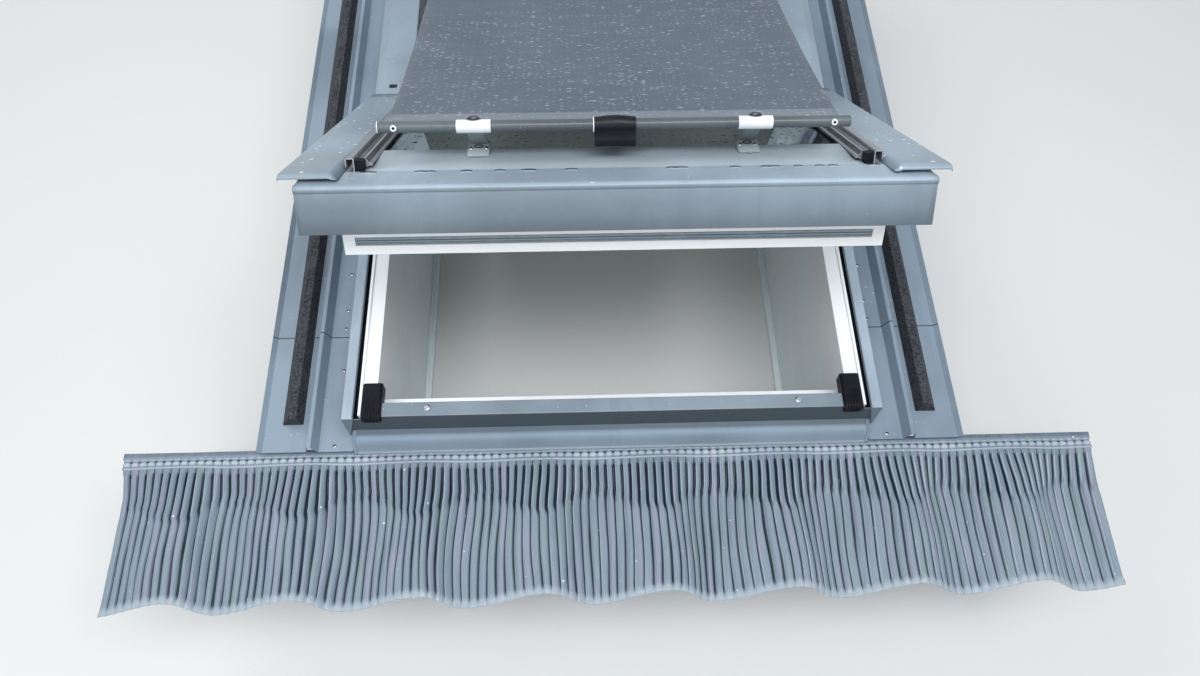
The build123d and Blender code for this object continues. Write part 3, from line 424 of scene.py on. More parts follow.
def pleated_sheet(name):
    """Soft coated sheet whose colour carries painted light: painted shade in the folds, painted
    highlights on the ridges, one flank, the hem, the band's lines and cells, the crumples and the
    drops, and a little painted light where it lies flat.
    """
    f = Finish(name)
    fold, laid, hem, edge = (
        f.node("ShaderNodeAttribute", out="Fac", attribute_name=value)
        for value in ("fold", "laid", "hem", "edge")
    )
    cloud = f.noise(14.0, 4.0, 0.6)
    crumple = f.noise(190.0, 3.0, 0.6)
    tint = f.noise(1.0, 1.0, 0.5, f.scaled(75.0, 9.0, 9.0))
    drop, dome = f.drops(0.011, 0.10, 0.16)
    # painted shade: the folds are coloured dark and the ridges mid
    f.colour = f.mix(fold.between(0.22, 0.72), (0.008, 0.016, 0.030), (0.168, 0.218, 0.272))
    f.lay(tint.between(0.50, 0.62) * 0.6 * fold, (0.235, 0.245, 0.325))
    f.lay(tint.between(0.50, 0.38) * 0.5 * fold, (0.185, 0.255, 0.265))
    # painted light on the part that lies flat on the tiles
    f.lay(laid * fold.between(0.4, 0.8) * 0.12, (0.44, 0.52, 0.58))
    f.lay(cloud.between(0.45, 0.7) * 0.3 * fold, (0.17, 0.22, 0.275))
    # painted highlight along one flank of each ridge
    f.lay(edge.between(0.45, 1.0) * 0.8, (0.47, 0.55, 0.61))
    # painted glints on the crumples
    f.lay(crumple.between(0.62, 0.76) * 0.2 * fold, (0.52, 0.58, 0.62))
    # painted highlights: the crushed hem and the band's fine lines and cells are coloured pale
    f.lay(hem * 0.6, (0.50, 0.57, 0.62))
    # painted reflection: the drops are coloured pale
    f.lay(drop * 0.7 * fold, (0.80, 0.84, 0.87))
    f.bump(crumple, 0.0006, 0.6)
    f.bump(dome, 0.0006, 0.6)
    rough = cloud.between(0.3, 0.7, 0.28, 0.42) - drop * 0.15
    return f.done(rough, specular_ior_level=0.28)


def foam_strip(name):
    """Open foam, its pores painted black as painted shade."""
    f = Finish(name)
    cells = f.noise(320.0, 3.0, 0.7)
    big = f.noise(28.0, 2.0)
    f.colour = f.mix(cells.between(0.4, 0.62), (0.010, 0.011, 0.014), (0.055, 0.060, 0.072))
    f.lay(big.between(0.5, 0.75) * 0.3, (0.09, 0.095, 0.10))
    f.bump(cells, 0.0012, 0.9)
    return f.done(0.85)


COAT = (0.270, 0.335, 0.395)
FLASHING = {"wet": 0.8, "drop_pitch": 0.010, "drop_share": 0.2, "roughness": 0.36}
finishes = {
    "white_timber": white_paint("white_paint_timber", (0.87, 0.89, 0.90)),
    "lining_board": white_paint("white_paint_lining", (0.84, 0.91, 0.92), 0.00005, 0.05),
    "grey_aluminium": powder_coat("powder_coat_cover", COAT),
    # painted shade on the brackets' front faces
    "bracket_paint": powder_coat(
        "powder_coat_bracket", (0.38, 0.44, 0.455), 0.4, 0.006, painted_front_shade=0.5
    ),
    "flashing_aluminium": powder_coat(
        "coated_flashing", (0.195, 0.252, 0.310), joint=True, **FLASHING
    ),
    "apron_sheet": pleated_sheet("coated_apron"),
    "bare_aluminium": bare_metal("mill_aluminium", (0.50, 0.52, 0.55), OPEN, 0.42),
    "black_rubber": rubber("black_rubber", (0.003, 0.004, 0.007), 0.5, 0.14),
    "grey_rubber": rubber("grey_rubber", (0.28, 0.335, 0.38), 0.4),
    "black_plastic": rubber("black_plastic", (0.004, 0.005, 0.008), 0.42, 0.22),
    "white_plastic": plastic("white_plastic", (0.75, 0.77, 0.79), 0.35),
    "dark_bar": powder_coat(
        "anthracite_bar", (0.080, 0.098, 0.108), 0.5, 0.006, drop_share=0.3, roughness=0.30
    ),
    "steel": bare_metal("zinc_plate", (0.60, 0.61, 0.64), 0.0, 0.3, 120.0),
    "glass": clear_glass("float_glass", (0.90, 0.96, 0.93)),
    "spacer_metal": bare_metal("spacer_metal", (0.45, 0.46, 0.48), OPEN, 0.45, 300.0),
    "awning_mesh": wet_mesh("awning_mesh"),
    "roller_tube": bare_metal("roller_tube", (0.52, 0.53, 0.55), 0.0, 0.35, 300.0),
    "handle_aluminium": bare_metal("brushed_handle", (0.66, 0.67, 0.69), OPEN, 0.3, 500.0),
    "foam": foam_strip("foam"),
    # finishes of single pieces, beside the record's slots; several are lighter or darker copies of
    # a slot's finish, as painted light and shade
    # painted light: a lighter copy of the cover coat, with painted shade on its front and the
    # puddles' painted light along the crease
    "sash_coat_painted_light": powder_coat("sash_cover_coat", toned(COAT, 1.15), 0.8, crease=True, painted_front_shade=0.42),
    # painted highlights: many large pale specks, as glints of rain
    "wing_coat": powder_coat("wing_coat", COAT, roughness=0.36, specks=0.9, speck_size=0.22),
    # painted shade: a darker copy of the cover coat, darkest on its front faces
    "cover_coat_painted_shade": powder_coat("bottom_cover_coat", toned(COAT, 0.76), 0.8, painted_front_shade=0.9),
    # painted light: a lighter copy of the cover coat, with painted shade on its front faces
    "side_coat_painted_light": powder_coat("side_cover_coat", toned(COAT, 1.2), 0.8, painted_front_shade=0.6),
    # painted shade and a painted highlight across the sill plate, on a slightly lighter copy of the
    # flashing coat
    "sill_coat_painted_light": powder_coat("sill_plate_coat", (0.205, 0.265, 0.325), painted_sill_light=True, **FLASHING),
    # painted light: a brighter copy of the white timber paint
    "rail_paint_painted_light": white_paint("white_paint_rail", (0.955, 0.97, 0.975)),
    "cap_plastic": plastic("cap_plastic", (0.030, 0.036, 0.044), 0.25),
    # painted shade: a dark finish for recesses, holes and the sides of heads
    "dark_recess": rubber("dark_recess", (0.015, 0.018, 0.024), 0.6, 0.1),
    "screw_metal": bare_metal("screw_metal", (0.62, 0.63, 0.66), 0.0, 0.28, 200.0),
}
slots = {row["node"]: row["material_slot"] for row in frame["record"]["subparts"]}
own = {
    "frame_cover_bottom": "cover_coat_painted_shade",
    "side_cover_lower_left": "side_coat_painted_light",
    "side_cover_lower_right": "side_coat_painted_light",
    "flashing_sill": "sill_coat_painted_light",
    "sash_rail_bottom": "rail_paint_painted_light",
}
for node, obj in frame["nodes"].items():
    obj.data.materials.clear()
    obj.data.materials.append(finishes[own.get(node, slots[node])])


# Mesh helpers
def placed(name, data):
    """A new object of the scene."""
    obj = bpy.data.objects.new(name, data)
    bpy.context.scene.collection.objects.link(obj)
    return obj


def piece_from(name, mesh, slot, body, replaces=(), finish=None):
    """An object at the origin with its finish, riding on its body."""
    obj = placed(name, mesh)
    if not mesh.materials:
        mesh.materials.append(finishes[finish or slot])
    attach(obj, body)
    if replaces:
        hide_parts(*replaces)
    return obj


def baked(seed):
    """The seed object's evaluated mesh as a plain mesh; the seed goes."""
    bpy.context.view_layer.update()
    graph = bpy.context.evaluated_depsgraph_get()
    mesh = bpy.data.meshes.new_from_object(seed.evaluated_get(graph))
    bpy.data.objects.remove(seed)
    return mesh


def walled(mesh, thickness, offset=-1.0):
    """The mesh of a sheet with its wall given to it."""
    seed = placed("wall_seed", mesh)
    wall = seed.modifiers.new("wall", "SOLIDIFY")
    wall.thickness = thickness
    wall.offset = offset
    return baked(seed)


def rounded(points, radii, steps):
    """A polyline with its inner corners rounded, one radius for each."""
    line = [Vector(points[0])]
    for i in range(1, len(points) - 1):
        before, corner, after = (Vector(p) for p in points[i - 1 : i + 2])
        into = (corner - before).normalized()
        away = (after - corner).normalized()
        turn = into.angle(away)
        radius = radii[i - 1]
        centre = corner + (away - into).normalized() * (radius / math.cos(turn / 2))
        first = corner - into * (radius * math.tan(turn / 2)) - centre
        last = corner + away * (radius * math.tan(turn / 2)) - centre
        for k in range(steps + 1):
            angle = turn * k / steps
            arm = (first * math.sin(turn - angle) + last * math.sin(angle)) / math.sin(turn)
            line.append(centre + arm)
    line.append(Vector(points[-1]))
    return line


def travelled(line):
    """The length walked along a line at each of its points."""
    walked = [0.0]
    for a, b in zip(line, line[1:]):
        walked.append(walked[-1] + (b - a).length)
    return walked


def turns(count):
    """The angles of a full turn in equal steps."""
    return [2 * math.pi * k / count for k in range(count)]


class Shape:
    """A mesh that is put together from lofted rings of points."""

    def __init__(self):
        self.work = bmesh.new()
        self.cut = self.work.loops.layers.uv.new("cut")

    def loft(self, rings, around=False):
        """Skin closed rings; the ends are capped, or joined to each other where around is set."""
        rows = [[self.work.verts.new(p) for p in ring] for ring in rings]
        count = len(rows[0])
        pairs = list(zip(rows, rows[1:])) + ([(rows[-1], rows[0])] if around else [])
        for low, high in pairs:
            for i in range(count):
                j = (i + 1) % count
                self.work.faces.new((low[i], low[j], high[j], high[i]))
        if not around:
            self.work.faces.new(rows[0][::-1])
            self.work.faces.new(rows[-1])

    def sheet(self, rings, spans, lines, skip=None):
        """An open sheet of rings, with its flattened size as UV map, some cells left out."""
        rows = [[self.work.verts.new(p) for p in ring] for ring in rings]
        for j in range(len(rows) - 1):
            for i in range(len(rows[0]) - 1):
                if skip and skip(i, j):
                    continue
                corners = ((i, j), (i + 1, j), (i + 1, j + 1), (i, j + 1))
                face = self.work.faces.new([rows[b][a] for a, b in corners])
                for loop, (a, b) in zip(face.loops, corners):
                    loop[self.cut].uv = (lines[a], spans[b])

    def round(self, place, line, sides, around=False):
        """Turn a line of (along, radius) pairs; place gives the point for (along, across, up)."""
        rings = [
            [place(along, radius * math.cos(t), radius * math.sin(t)) for t in turns(sides)]
            for along, radius in line
        ]
        self.loft(rings, around)

    def mesh(self, name, outwards=None, sharp=32.0):
        """The finished mesh, smooth but for its sharp edges; an open sheet is told its outside."""
        bmesh.ops.remove_doubles(self.work, verts=self.work.verts[:], dist=1e-7)
        loose = [v for v in self.work.verts if not v.link_faces]
        bmesh.ops.delete(self.work, geom=loose, context="VERTS")
        if outwards is None:
            bmesh.ops.recalc_face_normals(self.work, faces=self.work.faces[:])
        else:
            self.work.normal_update()
            total = sum((f.normal * f.calc_area() for f in self.work.faces), Vector())
            if total.dot(outwards) < 0:
                bmesh.ops.reverse_faces(self.work, faces=self.work.faces[:])
        self.work.normal_update()
        for face in self.work.faces:
            face.smooth = True
        for edge in self.work.edges:
            if len(edge.link_faces) == 2:
                edge.smooth = edge.calc_face_angle() < math.radians(sharp)
        mesh = bpy.data.meshes.new(name)
        self.work.to_mesh(mesh)
        self.work.free()
        return mesh


class Growth(Nodes):
    """A geometry node tree with a named input for each of its sizes, read from size."""

    def __init__(self, name, sizes):
        super().__init__(bpy.data.node_groups.new(name, "GeometryNodeTree"))
        self.sizes = sizes
        self.names = {}
        face = self.tree.interface
        face.new_socket("Geometry", in_out="INPUT", socket_type="NodeSocketGeometry")
        for key, size in sizes.items():
            kind = "NodeSocketInt" if isinstance(size, int) else "NodeSocketFloat"
            self.names[key] = face.new_socket(key, in_out="INPUT", socket_type=kind).identifier
        face.new_socket("Geometry", in_out="OUTPUT", socket_type="NodeSocketGeometry")
        self.given = self.node("NodeGroupInput")
        self.size = {key: self.given.beside(key) for key in sizes}

    def vector(self, x=0.0, y=0.0, z=0.0):
        return self.node("ShaderNodeCombineXYZ", {0: x, 1: y, 2: z})

    def close(self, geometry, finish):
        """End the tree with real geometry in its finish."""
        real = self.node("GeometryNodeRealizeInstances", {"Geometry": geometry})
        sockets = {"Geometry": real, "Material": finishes[finish]}
        coated = self.node("GeometryNodeSetMaterial", sockets)
        self.node("NodeGroupOutput", {0: coated})
        return self

    def grow(self, name, base=None, changed=None):
        """The plain mesh that the tree gives, its inputs set by their identifiers."""
        seed = placed(name, base or bpy.data.meshes.new(name))
        modifier = seed.modifiers.new("nodes", "NODES")
        modifier.node_group = self.tree
        for key, value in (self.sizes | (changed or {})).items():
            modifier[self.names[key]] = value
        return baked(seed)


# Pleated apron
def pleated_apron():
    """Nodes that drape a grid over the waves of the tiles and fold it into pleats."""
    wide, pleats = 1.232, 120
    sizes = {
        "Width": wide,
        "Pleat Pitch": wide / pleats,
        "Pleat Depth": 0.0072,
        "Tile Pitch": 0.150,
        "Tile Shift": 0.120,
        "Tile Rise": 0.023,
        "Pleats": pleats,
        "Rows": 66,
    }
    g = Growth("pleated_apron", sizes)
    size = g.size
    sockets = {"Size X": size["Width"], "Size Y": 1.0, "Vertices Y": size["Rows"]}
    sockets["Vertices X"] = size["Pleats"] * 6.0 + 1.0
    sheet = g.node("GeometryNodeMeshGrid", sockets)
    flat_x, flat_y, _ = g.split(g.node("GeometryNodeInputPosition"))
    phase = flat_x / size["Pleat Pitch"]
    down = 0.5 - flat_y
    # rows lie closer together in the pinched band and at the hem
    run = down.between(0.0, 0.40, 0.0, 0.034, False) - 0.004
    run = run + down.between(0.40, 0.86, 0.0, 0.144, False)
    run = run + down.between(0.86, 1.0, 0.0, 0.016, False)
    # columns gather on both sides of a valley, where the sheet bends
    part = phase.fraction()
    half = 0.5 - (part - 0.5).absolute()
    half = (
        half.between(0.0, 1 / 6, 0.0, 0.15, False)
        + half.between(1 / 6, 1 / 3, 0.0, 0.085, False)
        + half.between(1 / 3, 0.5, 0.0, 0.265, False)
    )
    phase = phase - part + (part > 0.5) * (1.0 - half * 2.0) + half
    x = phase * size["Pleat Pitch"]
    ridge = (phase * math.pi).sin().absolute()

    def wander(scale_x, scale_y, seed, detail=1.0):
        sockets = {"Vector": g.vector(x * scale_x, run * scale_y, seed), "Scale": 1.0}
        return g.node("ShaderNodeTexNoise", sockets | {"Detail": detail}) - 0.5

    def strip(low, high, edge=0.0007):
        return run.between(low - edge, low) - run.between(high, high + edge)

    # the waves of the tiles below, steep on one side and easy on the other
    turn = (x - size["Tile Shift"]) / size["Tile Pitch"]
    step = turn.fraction()
    rise = (step / 0.62).least(1.0) - ((step - 0.62) / 0.38).most(0.0)
    wave = 0.5 - (rise * math.pi + math.pi / 2).sin() * 0.5

    # the pinched band: pits and crimps between the folds, and two fine lines
    band = 1.0 - run.between(0.0152, 0.0172)
    pit = strip(0.0050, 0.0084) * (1.0 - ridge.between(0.30, 0.62))
    # cell marks the band's bright cells, used only as a painted highlight through the hem attribute
    cell = strip(0.0088, 0.0122) * ridge.between(0.30, 0.60)
    crimp = strip(0.0094, 0.0136) * (1.0 - ridge.between(0.10, 0.42)) * 0.5
    lines = strip(0.0044, 0.0050) + strip(0.0150, 0.0156)
    flat = (1.0 - pit) * (1.0 - crimp)

    hem = run.between(0.176, 0.187)
    kink_run = 0.052 + wave * 0.030 + wander(30.0, 0.0, 1.2) * 0.014
    kink = (1.0 - (run - kink_run).absolute() / 0.006).most(0.0)
    laid = (run - kink_run).between(-0.008, 0.012)

    # the folds start as points below the band and open; laid down, their valleys close again
    opened = run.between(0.0158, 0.0260)
    worn = wander(80.0, 6.0, 4.4)
    low_edge = opened * (worn * 0.40 + 0.42 - laid * 0.15)
    high_edge = low_edge + opened * 0.16 + 0.10
    crown = ridge.between(low_edge, high_edge) * 0.88 + ridge * 0.12
    fold = crown * (1.0 - band) + flat * band
    # painted highlight: a band along one flank of each ridge, stored as the edge attribute
    painted_highlight = (1.0 - (ridge - 0.68 + laid * 0.20).absolute() / 0.24).most(0.0)
    edge = painted_highlight * opened * (1.0 - (part > 0.5) * 0.45) * (1.0 - hem)

    uneven = 0.86 + wander(97.0, 9.0, 5.5) * 0.75
    depth = size["Pleat Depth"] * (0.55 + opened * 0.45) * uneven
    depth = depth * (1.0 - laid * 0.12) * (1.0 - hem * 0.72)
    crush = wander(150.0, 95.0, 2.2, 2.0) * 0.0042 * hem
    dent = wander(55.0, 30.0, 6.1, 2.0) * 0.0030 * laid

    # the folds lean and sway, most where the sheet goes down the steep side of a wave
    lean = wander(9.0, 5.0, 3.7) * 0.022 * run.between(0.022, 0.085)
    lean = lean + wander(70.0, 10.0, 9.1) * 0.0030 * run.between(0.022, 0.120)
    lean = lean - kink * 0.0007 + (rise.between(0.0, 1.0) - 0.5) * 0.004 * laid
    lean = lean * (1.0 - (x / (size["Width"] * 0.5)).absolute().between(0.93, 1.0) * 0.7)

    # the sheet falls from the sill plate to the tiles and then follows their waves
    drape = (run / (kink_run + 0.012)).between(0.0, 1.0)
    fall = drape * (0.0205 - wave * size["Tile Rise"])
    top_z = COVER_Z - 0.0696
    z = top_z - fall + (fold - 1.0) * depth + lines * 0.0004 + (kink * 0.0012 + crush + dent) * fold
    y = COVER_Y - 0.0155 - run * (1.018 - wave * 0.050) + wander(60.0, 0.0, 8.0) * 0.0012 * hem
    # painted shade: the stored fold height darkens the folds, evened out at the hem, and the first
    # rows under the sill are darkened as its shadow
    painted_fold_shade = (fold * (1.0 - hem * 0.5) + hem * 0.5) * run.between(0.0008, 0.0026, 0.5, 1.0)
    # the hem attribute also carries the band's fine lines and cells, shown as painted highlights
    shown = {"fold": painted_fold_shade, "laid": laid, "hem": hem * 0.7 + lines + cell, "edge": edge}
    # the values are stored while the points still lie on the flat grid
    for name, value in shown.items():
        sockets = {"Geometry": sheet, "Name": name, "Value": value}
        sheet = g.node("GeometryNodeStoreNamedAttribute", sockets)
    sockets = {"Geometry": sheet, "Position": g.vector(x + lean, y, z)}
    sheet = g.node("GeometryNodeSetPosition", sockets)
    sheet = g.node("GeometryNodeSetShadeSmooth", {"Geometry": sheet})
    return g.close(sheet, "apron_sheet")


apron = walled(pleated_apron().grow("apron_grid"), 0.0008)
piece_from("apron_sheet", apron, "apron_sheet", "frame", ["apron"])


# Screw heads
def screw_heads():
    """Nodes that put a crossed pan head on each point, tilted about X."""
    sizes = {"Head Radius": 0.004, "Head Height": 0.0022, "Recess": 0.0009}
    g = Growth("screw_heads", sizes | {"Tilt": 0.0, "Turn": 0.4})
    size = g.size
    height, wide = size["Head Height"], size["Head Radius"]

    def lifted(solid, rise):
        sockets = {"Geometry": solid, "Translation": g.vector(z=rise)}
        return g.node("GeometryNodeTransform", sockets)

    # three layers of the pan, each a share of the height and narrower at its top
    layers = []
    for low, share, foot, top in (
        (0.0, 0.45, 1.0, 1.0),
        (0.45, 0.3, 1.0, 0.86),
        (0.75, 0.25, 0.86, 0.6),
    ):
        sockets = {
            "Vertices": 20,
            "Radius Bottom": wide * foot,
            "Radius Top": wide * top,
            "Depth": height * share,
        }
        cone = g.node("GeometryNodeMeshCone", sockets)
        layers.append(lifted(cone, height * low))
    arms = []
    for across, along in ((1.15, 0.24), (0.24, 1.15)):
        box = g.vector(wide * across, wide * along, size["Recess"] * 2.0)
        arms.append(lifted(g.node("GeometryNodeMeshCube", {"Size": box}), height))
    kind = "GeometryNodeMeshBoolean"
    head = g.node(kind, {"Mesh 2": layers}, operation="UNION", solver="EXACT")
    sockets = {"Mesh 1": head, "Mesh 2": arms}
    head = g.node(kind, sockets, operation="DIFFERENCE", solver="EXACT")
    # each head is turned about its own axis by another amount
    number = g.node("GeometryNodeInputIndex")
    tilt = g.vector(x=size["Tilt"])
    spin = g.vector(z=number * 1.7 + size["Turn"])
    tilt, spin = (g.node("FunctionNodeEulerToRotation", {0: a}) for a in (tilt, spin))
    both = g.node("FunctionNodeRotateRotation", {0: tilt, 1: spin}, rotation_space="LOCAL")
    points = g.node("GeometryNodeMeshToPoints", {"Mesh": g.given})
    sockets = {"Points": points, "Instance": head, "Rotation": both}
    heads = g.node("GeometryNodeInstanceOnPoints", sockets)
    return g.close(heads, "screw_metal")


crossed = screw_heads()


def heads_at(name, places, slot, body, replaces=(), top="screw_metal", **changed):
    """Screw heads on a list of places, as one piece."""
    base = bpy.data.meshes.new(name)
    base.from_pydata([tuple(p) for p in places], [], [])
    chosen = {key.replace("_", " ").title(): value for key, value in changed.items()}
    mesh = crossed.grow(name, base, chosen)
    axis = Matrix.Rotation(changed.get("tilt", 0.0), 3, "X") @ Vector((0, 0, 1))
    mesh.materials[0] = finishes[top]
    # painted shade: the sides of each head and its cross recess take the dark finish
    mesh.materials.append(finishes["dark_recess"])
    for side in mesh.polygons:
        side.material_index = 0 if side.normal.dot(axis) > 0.97 else 1
    return piece_from(name, mesh, slot, body, replaces)


cover_screws = [on_roof(x, 12.6, 0.0) for x in (-227.0, 227.0)]
heads_at("pan_heads", cover_screws, "steel", "frame", ["cover_screws"])


# Awning fabric
def awning_sheet():
    """The blind's fabric from the bar to the mouth of its casing, notched round the clamps."""
    bar = on_sash(0, BAR_Y, BAR_Z)
    line = on_roof(0, 858, 56) - bar
    chord = line.length
    along = line.normalized()
    up = Vector((0, -along.z, along.y))
    start, hem_end, weld = 0.0061, 0.0172, 0.0180
    half = 0.231
    sag = 0.020
    tail, lift = 0.085, 0.010
    thickness, clear = 0.0007, 0.0004
    # each notch: its middle, half its width and how far it reaches in
    notches = [(x / 1000, 0.0185, 0.01145) for x in CLAMPS] + [(0.0, 0.0220, 0.0088)]
    columns = sorted(
        {-half, half}
        | {c + s * w for c, w, _ in notches for s in (-1, 1)}
        | {-half + i * 2 * half / 44 for i in range(45)}
    )
    columns = [c for i, c in enumerate(columns) if i == 0 or c - columns[i - 1] > 0.0008]
    rows = [start, 0.0088, 0.01145, hem_end, weld]
    rows += [weld + (chord - weld) * i / 90 for i in range(1, 91)]
    rows += [chord + tail * i / 8 for i in range(1, 9)]
    rings = []
    for s in rows:
        share = (s - start) / (chord - start)
        hang = -4 * sag * share * (1 - share) if share < 1 else (s - chord) / tail * lift
        hem = 0.0006 if s <= hem_end else 0.0
        slack = math.sin(min(share, 1.0) * math.pi)
        ring = []
        for x in columns:
            # the edges of the fabric curl up and the middle is a little slack
            curl = 0.0014 * (abs(x) / half) ** 8 * slack
            ripple = 0.0007 * math.sin(x * 31 + s * 9) * slack
            spot = bar + along * s + up * (hang + hem + clear + curl + ripple)
            ring.append((x, spot.y, spot.z))
        rings.append(ring)

    def notched(i, j):
        middle = (columns[i] + columns[i + 1]) / 2
        return any(abs(middle - c) < w and rows[j + 1] <= deep + 1e-6 for c, w, deep in notches)

    shape = Shape()
    shape.sheet(rings, rows, columns, notched)
    sheet = shape.mesh("awning_fabric", up, 60.0)
    return walled(sheet, thickness, 0.0), 2 * half, rows[-1] - start


mesh, cut_width, cut_length = awning_sheet()
fabric = piece_from("awning_fabric", mesh, "awning_mesh", "awning_cloth", ["awning_cloth"])


# Sash cover and wings
def sash_cover():
    """Bottom cover of the sash: face, rolled bead, flat part, crease and upper part."""
    end, lip, cut_out, cut_in = 312.0, 305.0, 253.0, 246.5
    bead_turns = [math.radians(a) for a in range(240, 85, -15)]
    bead = [Vector((-1.2 + 4.0 * math.cos(a), 4.8 + 4.0 * math.sin(a))) for a in bead_turns]
    line = [Vector((-3.2, -40.0)), Vector((-3.2, 0.7))] + bead
    line += rounded([(6.0, 8.93), (CREASE_Y, CREASE_Z), (45.0, 10.574)], [6.0], 4)
    line += rounded([(57.5, 11.503), (UPPER_Y, UPPER_Z), (UPPER_Y, 13.7)], [1.4], 4)
    columns = [-end, -lip, -cut_out] + [-cut_in + 2 * cut_in * i / 16 for i in range(16)]
    columns += [cut_in, cut_out, lip, end]
    travel = travelled(line)
    crease = travel[min(range(len(line)), key=lambda k: abs(line[k].x - CREASE_Y))]

    def notched(i, j):
        x = abs((columns[i] + columns[i + 1]) / 2)
        y = (line[j].x + line[j + 1].x) / 2
        return (x > cut_out and y > 45.0) or (x > cut_in and y > 57.5)

    shape = Shape()
    rings = [[on_sash(x, p.x, p.y) for x in columns] for p in line]
    spans = [(t - crease) / 1000 for t in travel]
    shape.sheet(rings, spans, [x / 1000 for x in columns], notched)
    return walled(shape.mesh("sash_cover", SASH_UP + SASH_FRONT), 0.001)


piece_from(
    "bent_sash_cover", sash_cover(), "grey_aluminium", "sash", ["sash_cover_bottom"], "sash_coat_painted_light"
)


def wing(side):
    """Side cover of the lower half of the sash, its lower end rounded down to a lip."""
    outer, inner, foot = 330.0, 272.5, 11.5
    section = rounded([(outer, foot), (outer, 18.0), (279.0, 18.0), (inner, foot)], [3.0, 5.0], 6)
    rows = [(478.0 - (478.0 - 16.0) * i / 12, 0.0) for i in range(13)]
    lip = [math.pi / 2 * i / 7 for i in range(1, 8)]
    rows += [(16.0 - 7.0 * math.sin(a), 5.4 * (1 - math.cos(a))) for a in lip]
    rings = [[on_sash(side * p.x, y, max(p.y - drop, foot)) for p in section] for y, drop in rows]
    lines = [side * (outer - t) / 1000 for t in travelled(section)]
    shape = Shape()
    shape.sheet(rings, [y / 1000 for y, _ in rows], lines)
    return walled(shape.mesh("wing", SASH_UP), 0.001)


for side, name in ((-1, "left"), (1, "right")):
    piece_from(
        "bent_wing_" + name, wing(side), "grey_aluminium", "sash", ["wing_" + name], "wing_coat"
    )


def ribbed_seal():
    """Grey seal in the white rail: two soft bands with dark grooves beside them."""
    top, low = Vector((49.0, -56.0)), Vector((54.0, -80.0))
    down = (low - top).normalized()
    inward = Vector((-down.y, down.x))
    # each point: how far down the rail's face, and how far in from it
    line = [(4.1, 4.0), (4.1, 3.4), (4.9, 3.4), (5.0, 1.6), (5.5, 1.0), (7.8, 1.0), (8.1, 1.4)]
    line += [(8.2, 2.6), (8.9, 2.6), (9.0, 1.4), (9.4, 1.0), (10.9, 1.0), (11.1, 1.8)]
    line += [(11.5, 1.8), (11.7, 1.0), (12.4, 1.1), (12.7, 1.8), (12.8, 3.4), (13.9, 3.4)]
    line += [(13.9, 4.0)]
    ring = [top + down * d + inward * h for d, h in line]
    shape = Shape()
    shape.loft([[on_sash(x, p.x, p.y) for p in ring] for x in (-272.0, 272.0)])
    return shape.mesh("seal")


piece_from("ribbed_seal", ribbed_seal(), "grey_rubber", "sash", ["sash_seal"])


# Awning bar fittings
def each_at(places, build, sharp=32.0):
    """One mesh of the same thing built at each of its places."""
    shape = Shape()
    for place in places:
        build(shape, place)
    return shape.mesh(build.__name__, sharp=sharp)


def round_bar(x, r, up):
    """Place for things turned round the awning bar."""
    return on_sash(x, BAR_Y + r, BAR_Z + up)


def on_foot(mid, x, y, lift):
    """Place over a bracket's foot, which stands on the cover's slope."""
    return on_sash(mid + x, y, cover_top(y) + 0.4 + lift)


FOOT_SLOPE = 6.0 / 26.0


def foot_lift(y):
    """Height of the foot, a wedge that turns its screws to look out past the bar."""
    return 2.0 + max(0.0, y - 88.0) * FOOT_SLOPE


def clamp_tube(shape, mid):
    """White tube of a clamp."""
    tube = [(-17.5, 5.85), (-17.5, 6.35), (-17.1, 6.75), (17.1, 6.75), (17.5, 6.35), (17.5, 5.85)]
    shape.round(round_bar, [(mid + a, r) for a, r in tube], 40, True)


def clamp_dome(shape, mid):
    """Low oval dome on a thin flange."""
    long, short = 7.5, 4.6
    steps = [(1.0, 4.9), (1.0, 7.3), (0.80, 7.5), (0.78, 8.3), (0.70, 9.1)]
    steps += [(0.50, 9.7), (0.22, 9.95)]
    rings = []
    for share, height in steps:
        oval = [(long * share * math.cos(t), short * share * math.sin(t) + 1.4) for t in turns(28)]
        rings.append([round_bar(mid + x, r, height) for x, r in oval])
    shape.loft(rings)


def bracket(shape, mid):
    """Cast bracket: a foot with rounded corners, a stem up to the clamp and a small tongue."""
    wide, low_y, high_y = 11.5, 87.0, 118.0
    corners = [(0, low_y), (wide, low_y), (wide, high_y), (0, high_y)]
    right = [(p.x, p.y) for p in rounded(corners, [2.5, 2.5], 4)]
    foot = right + [(-x, y) for x, y in right[-2:0:-1]]
    centre = (low_y + high_y) / 2
    shape.loft(
        [
            [on_foot(mid, x, y, 0.0) for x, y in foot],
            [on_foot(mid, x, y, foot_lift(y) - 0.5) for x, y in foot],
            [on_foot(mid, x * 0.96, centre + (y - centre) * 0.97, foot_lift(y)) for x, y in foot],
        ]
    )
    # the stem narrows as it climbs, and leans forward to the clamp
    stem_y, forward, climb = 115.5, 44.0, 23.1
    stem = []
    for share in (0.0, 0.12, 0.3, 0.55, 0.8, 1.0):
        y = stem_y - forward * share
        z = cover_top(stem_y) + 7.0 + climb * share
        half = 9.8 - 1.6 * min(share / 0.3, 1.0) + 0.5 * max(0.0, share - 0.6)
        deep = 2.6 - 0.4 * share
        right = [(half - 0.8, deep), (half, deep - 0.8), (half, -deep)]
        section = [(-a, b) for a, b in right[::-1]] + right
        stem.append([on_sash(mid + a, y + b * 0.47, z + b * 0.88) for a, b in section])
    shape.loft(stem)
    tongue = [(-2.2, 86.9), (2.2, 86.9), (1.6, 84.6), (-1.6, 84.6)]
    shape.loft([[on_foot(mid, x, y, lift) for x, y in tongue] for lift in (0.1, 1.5)])


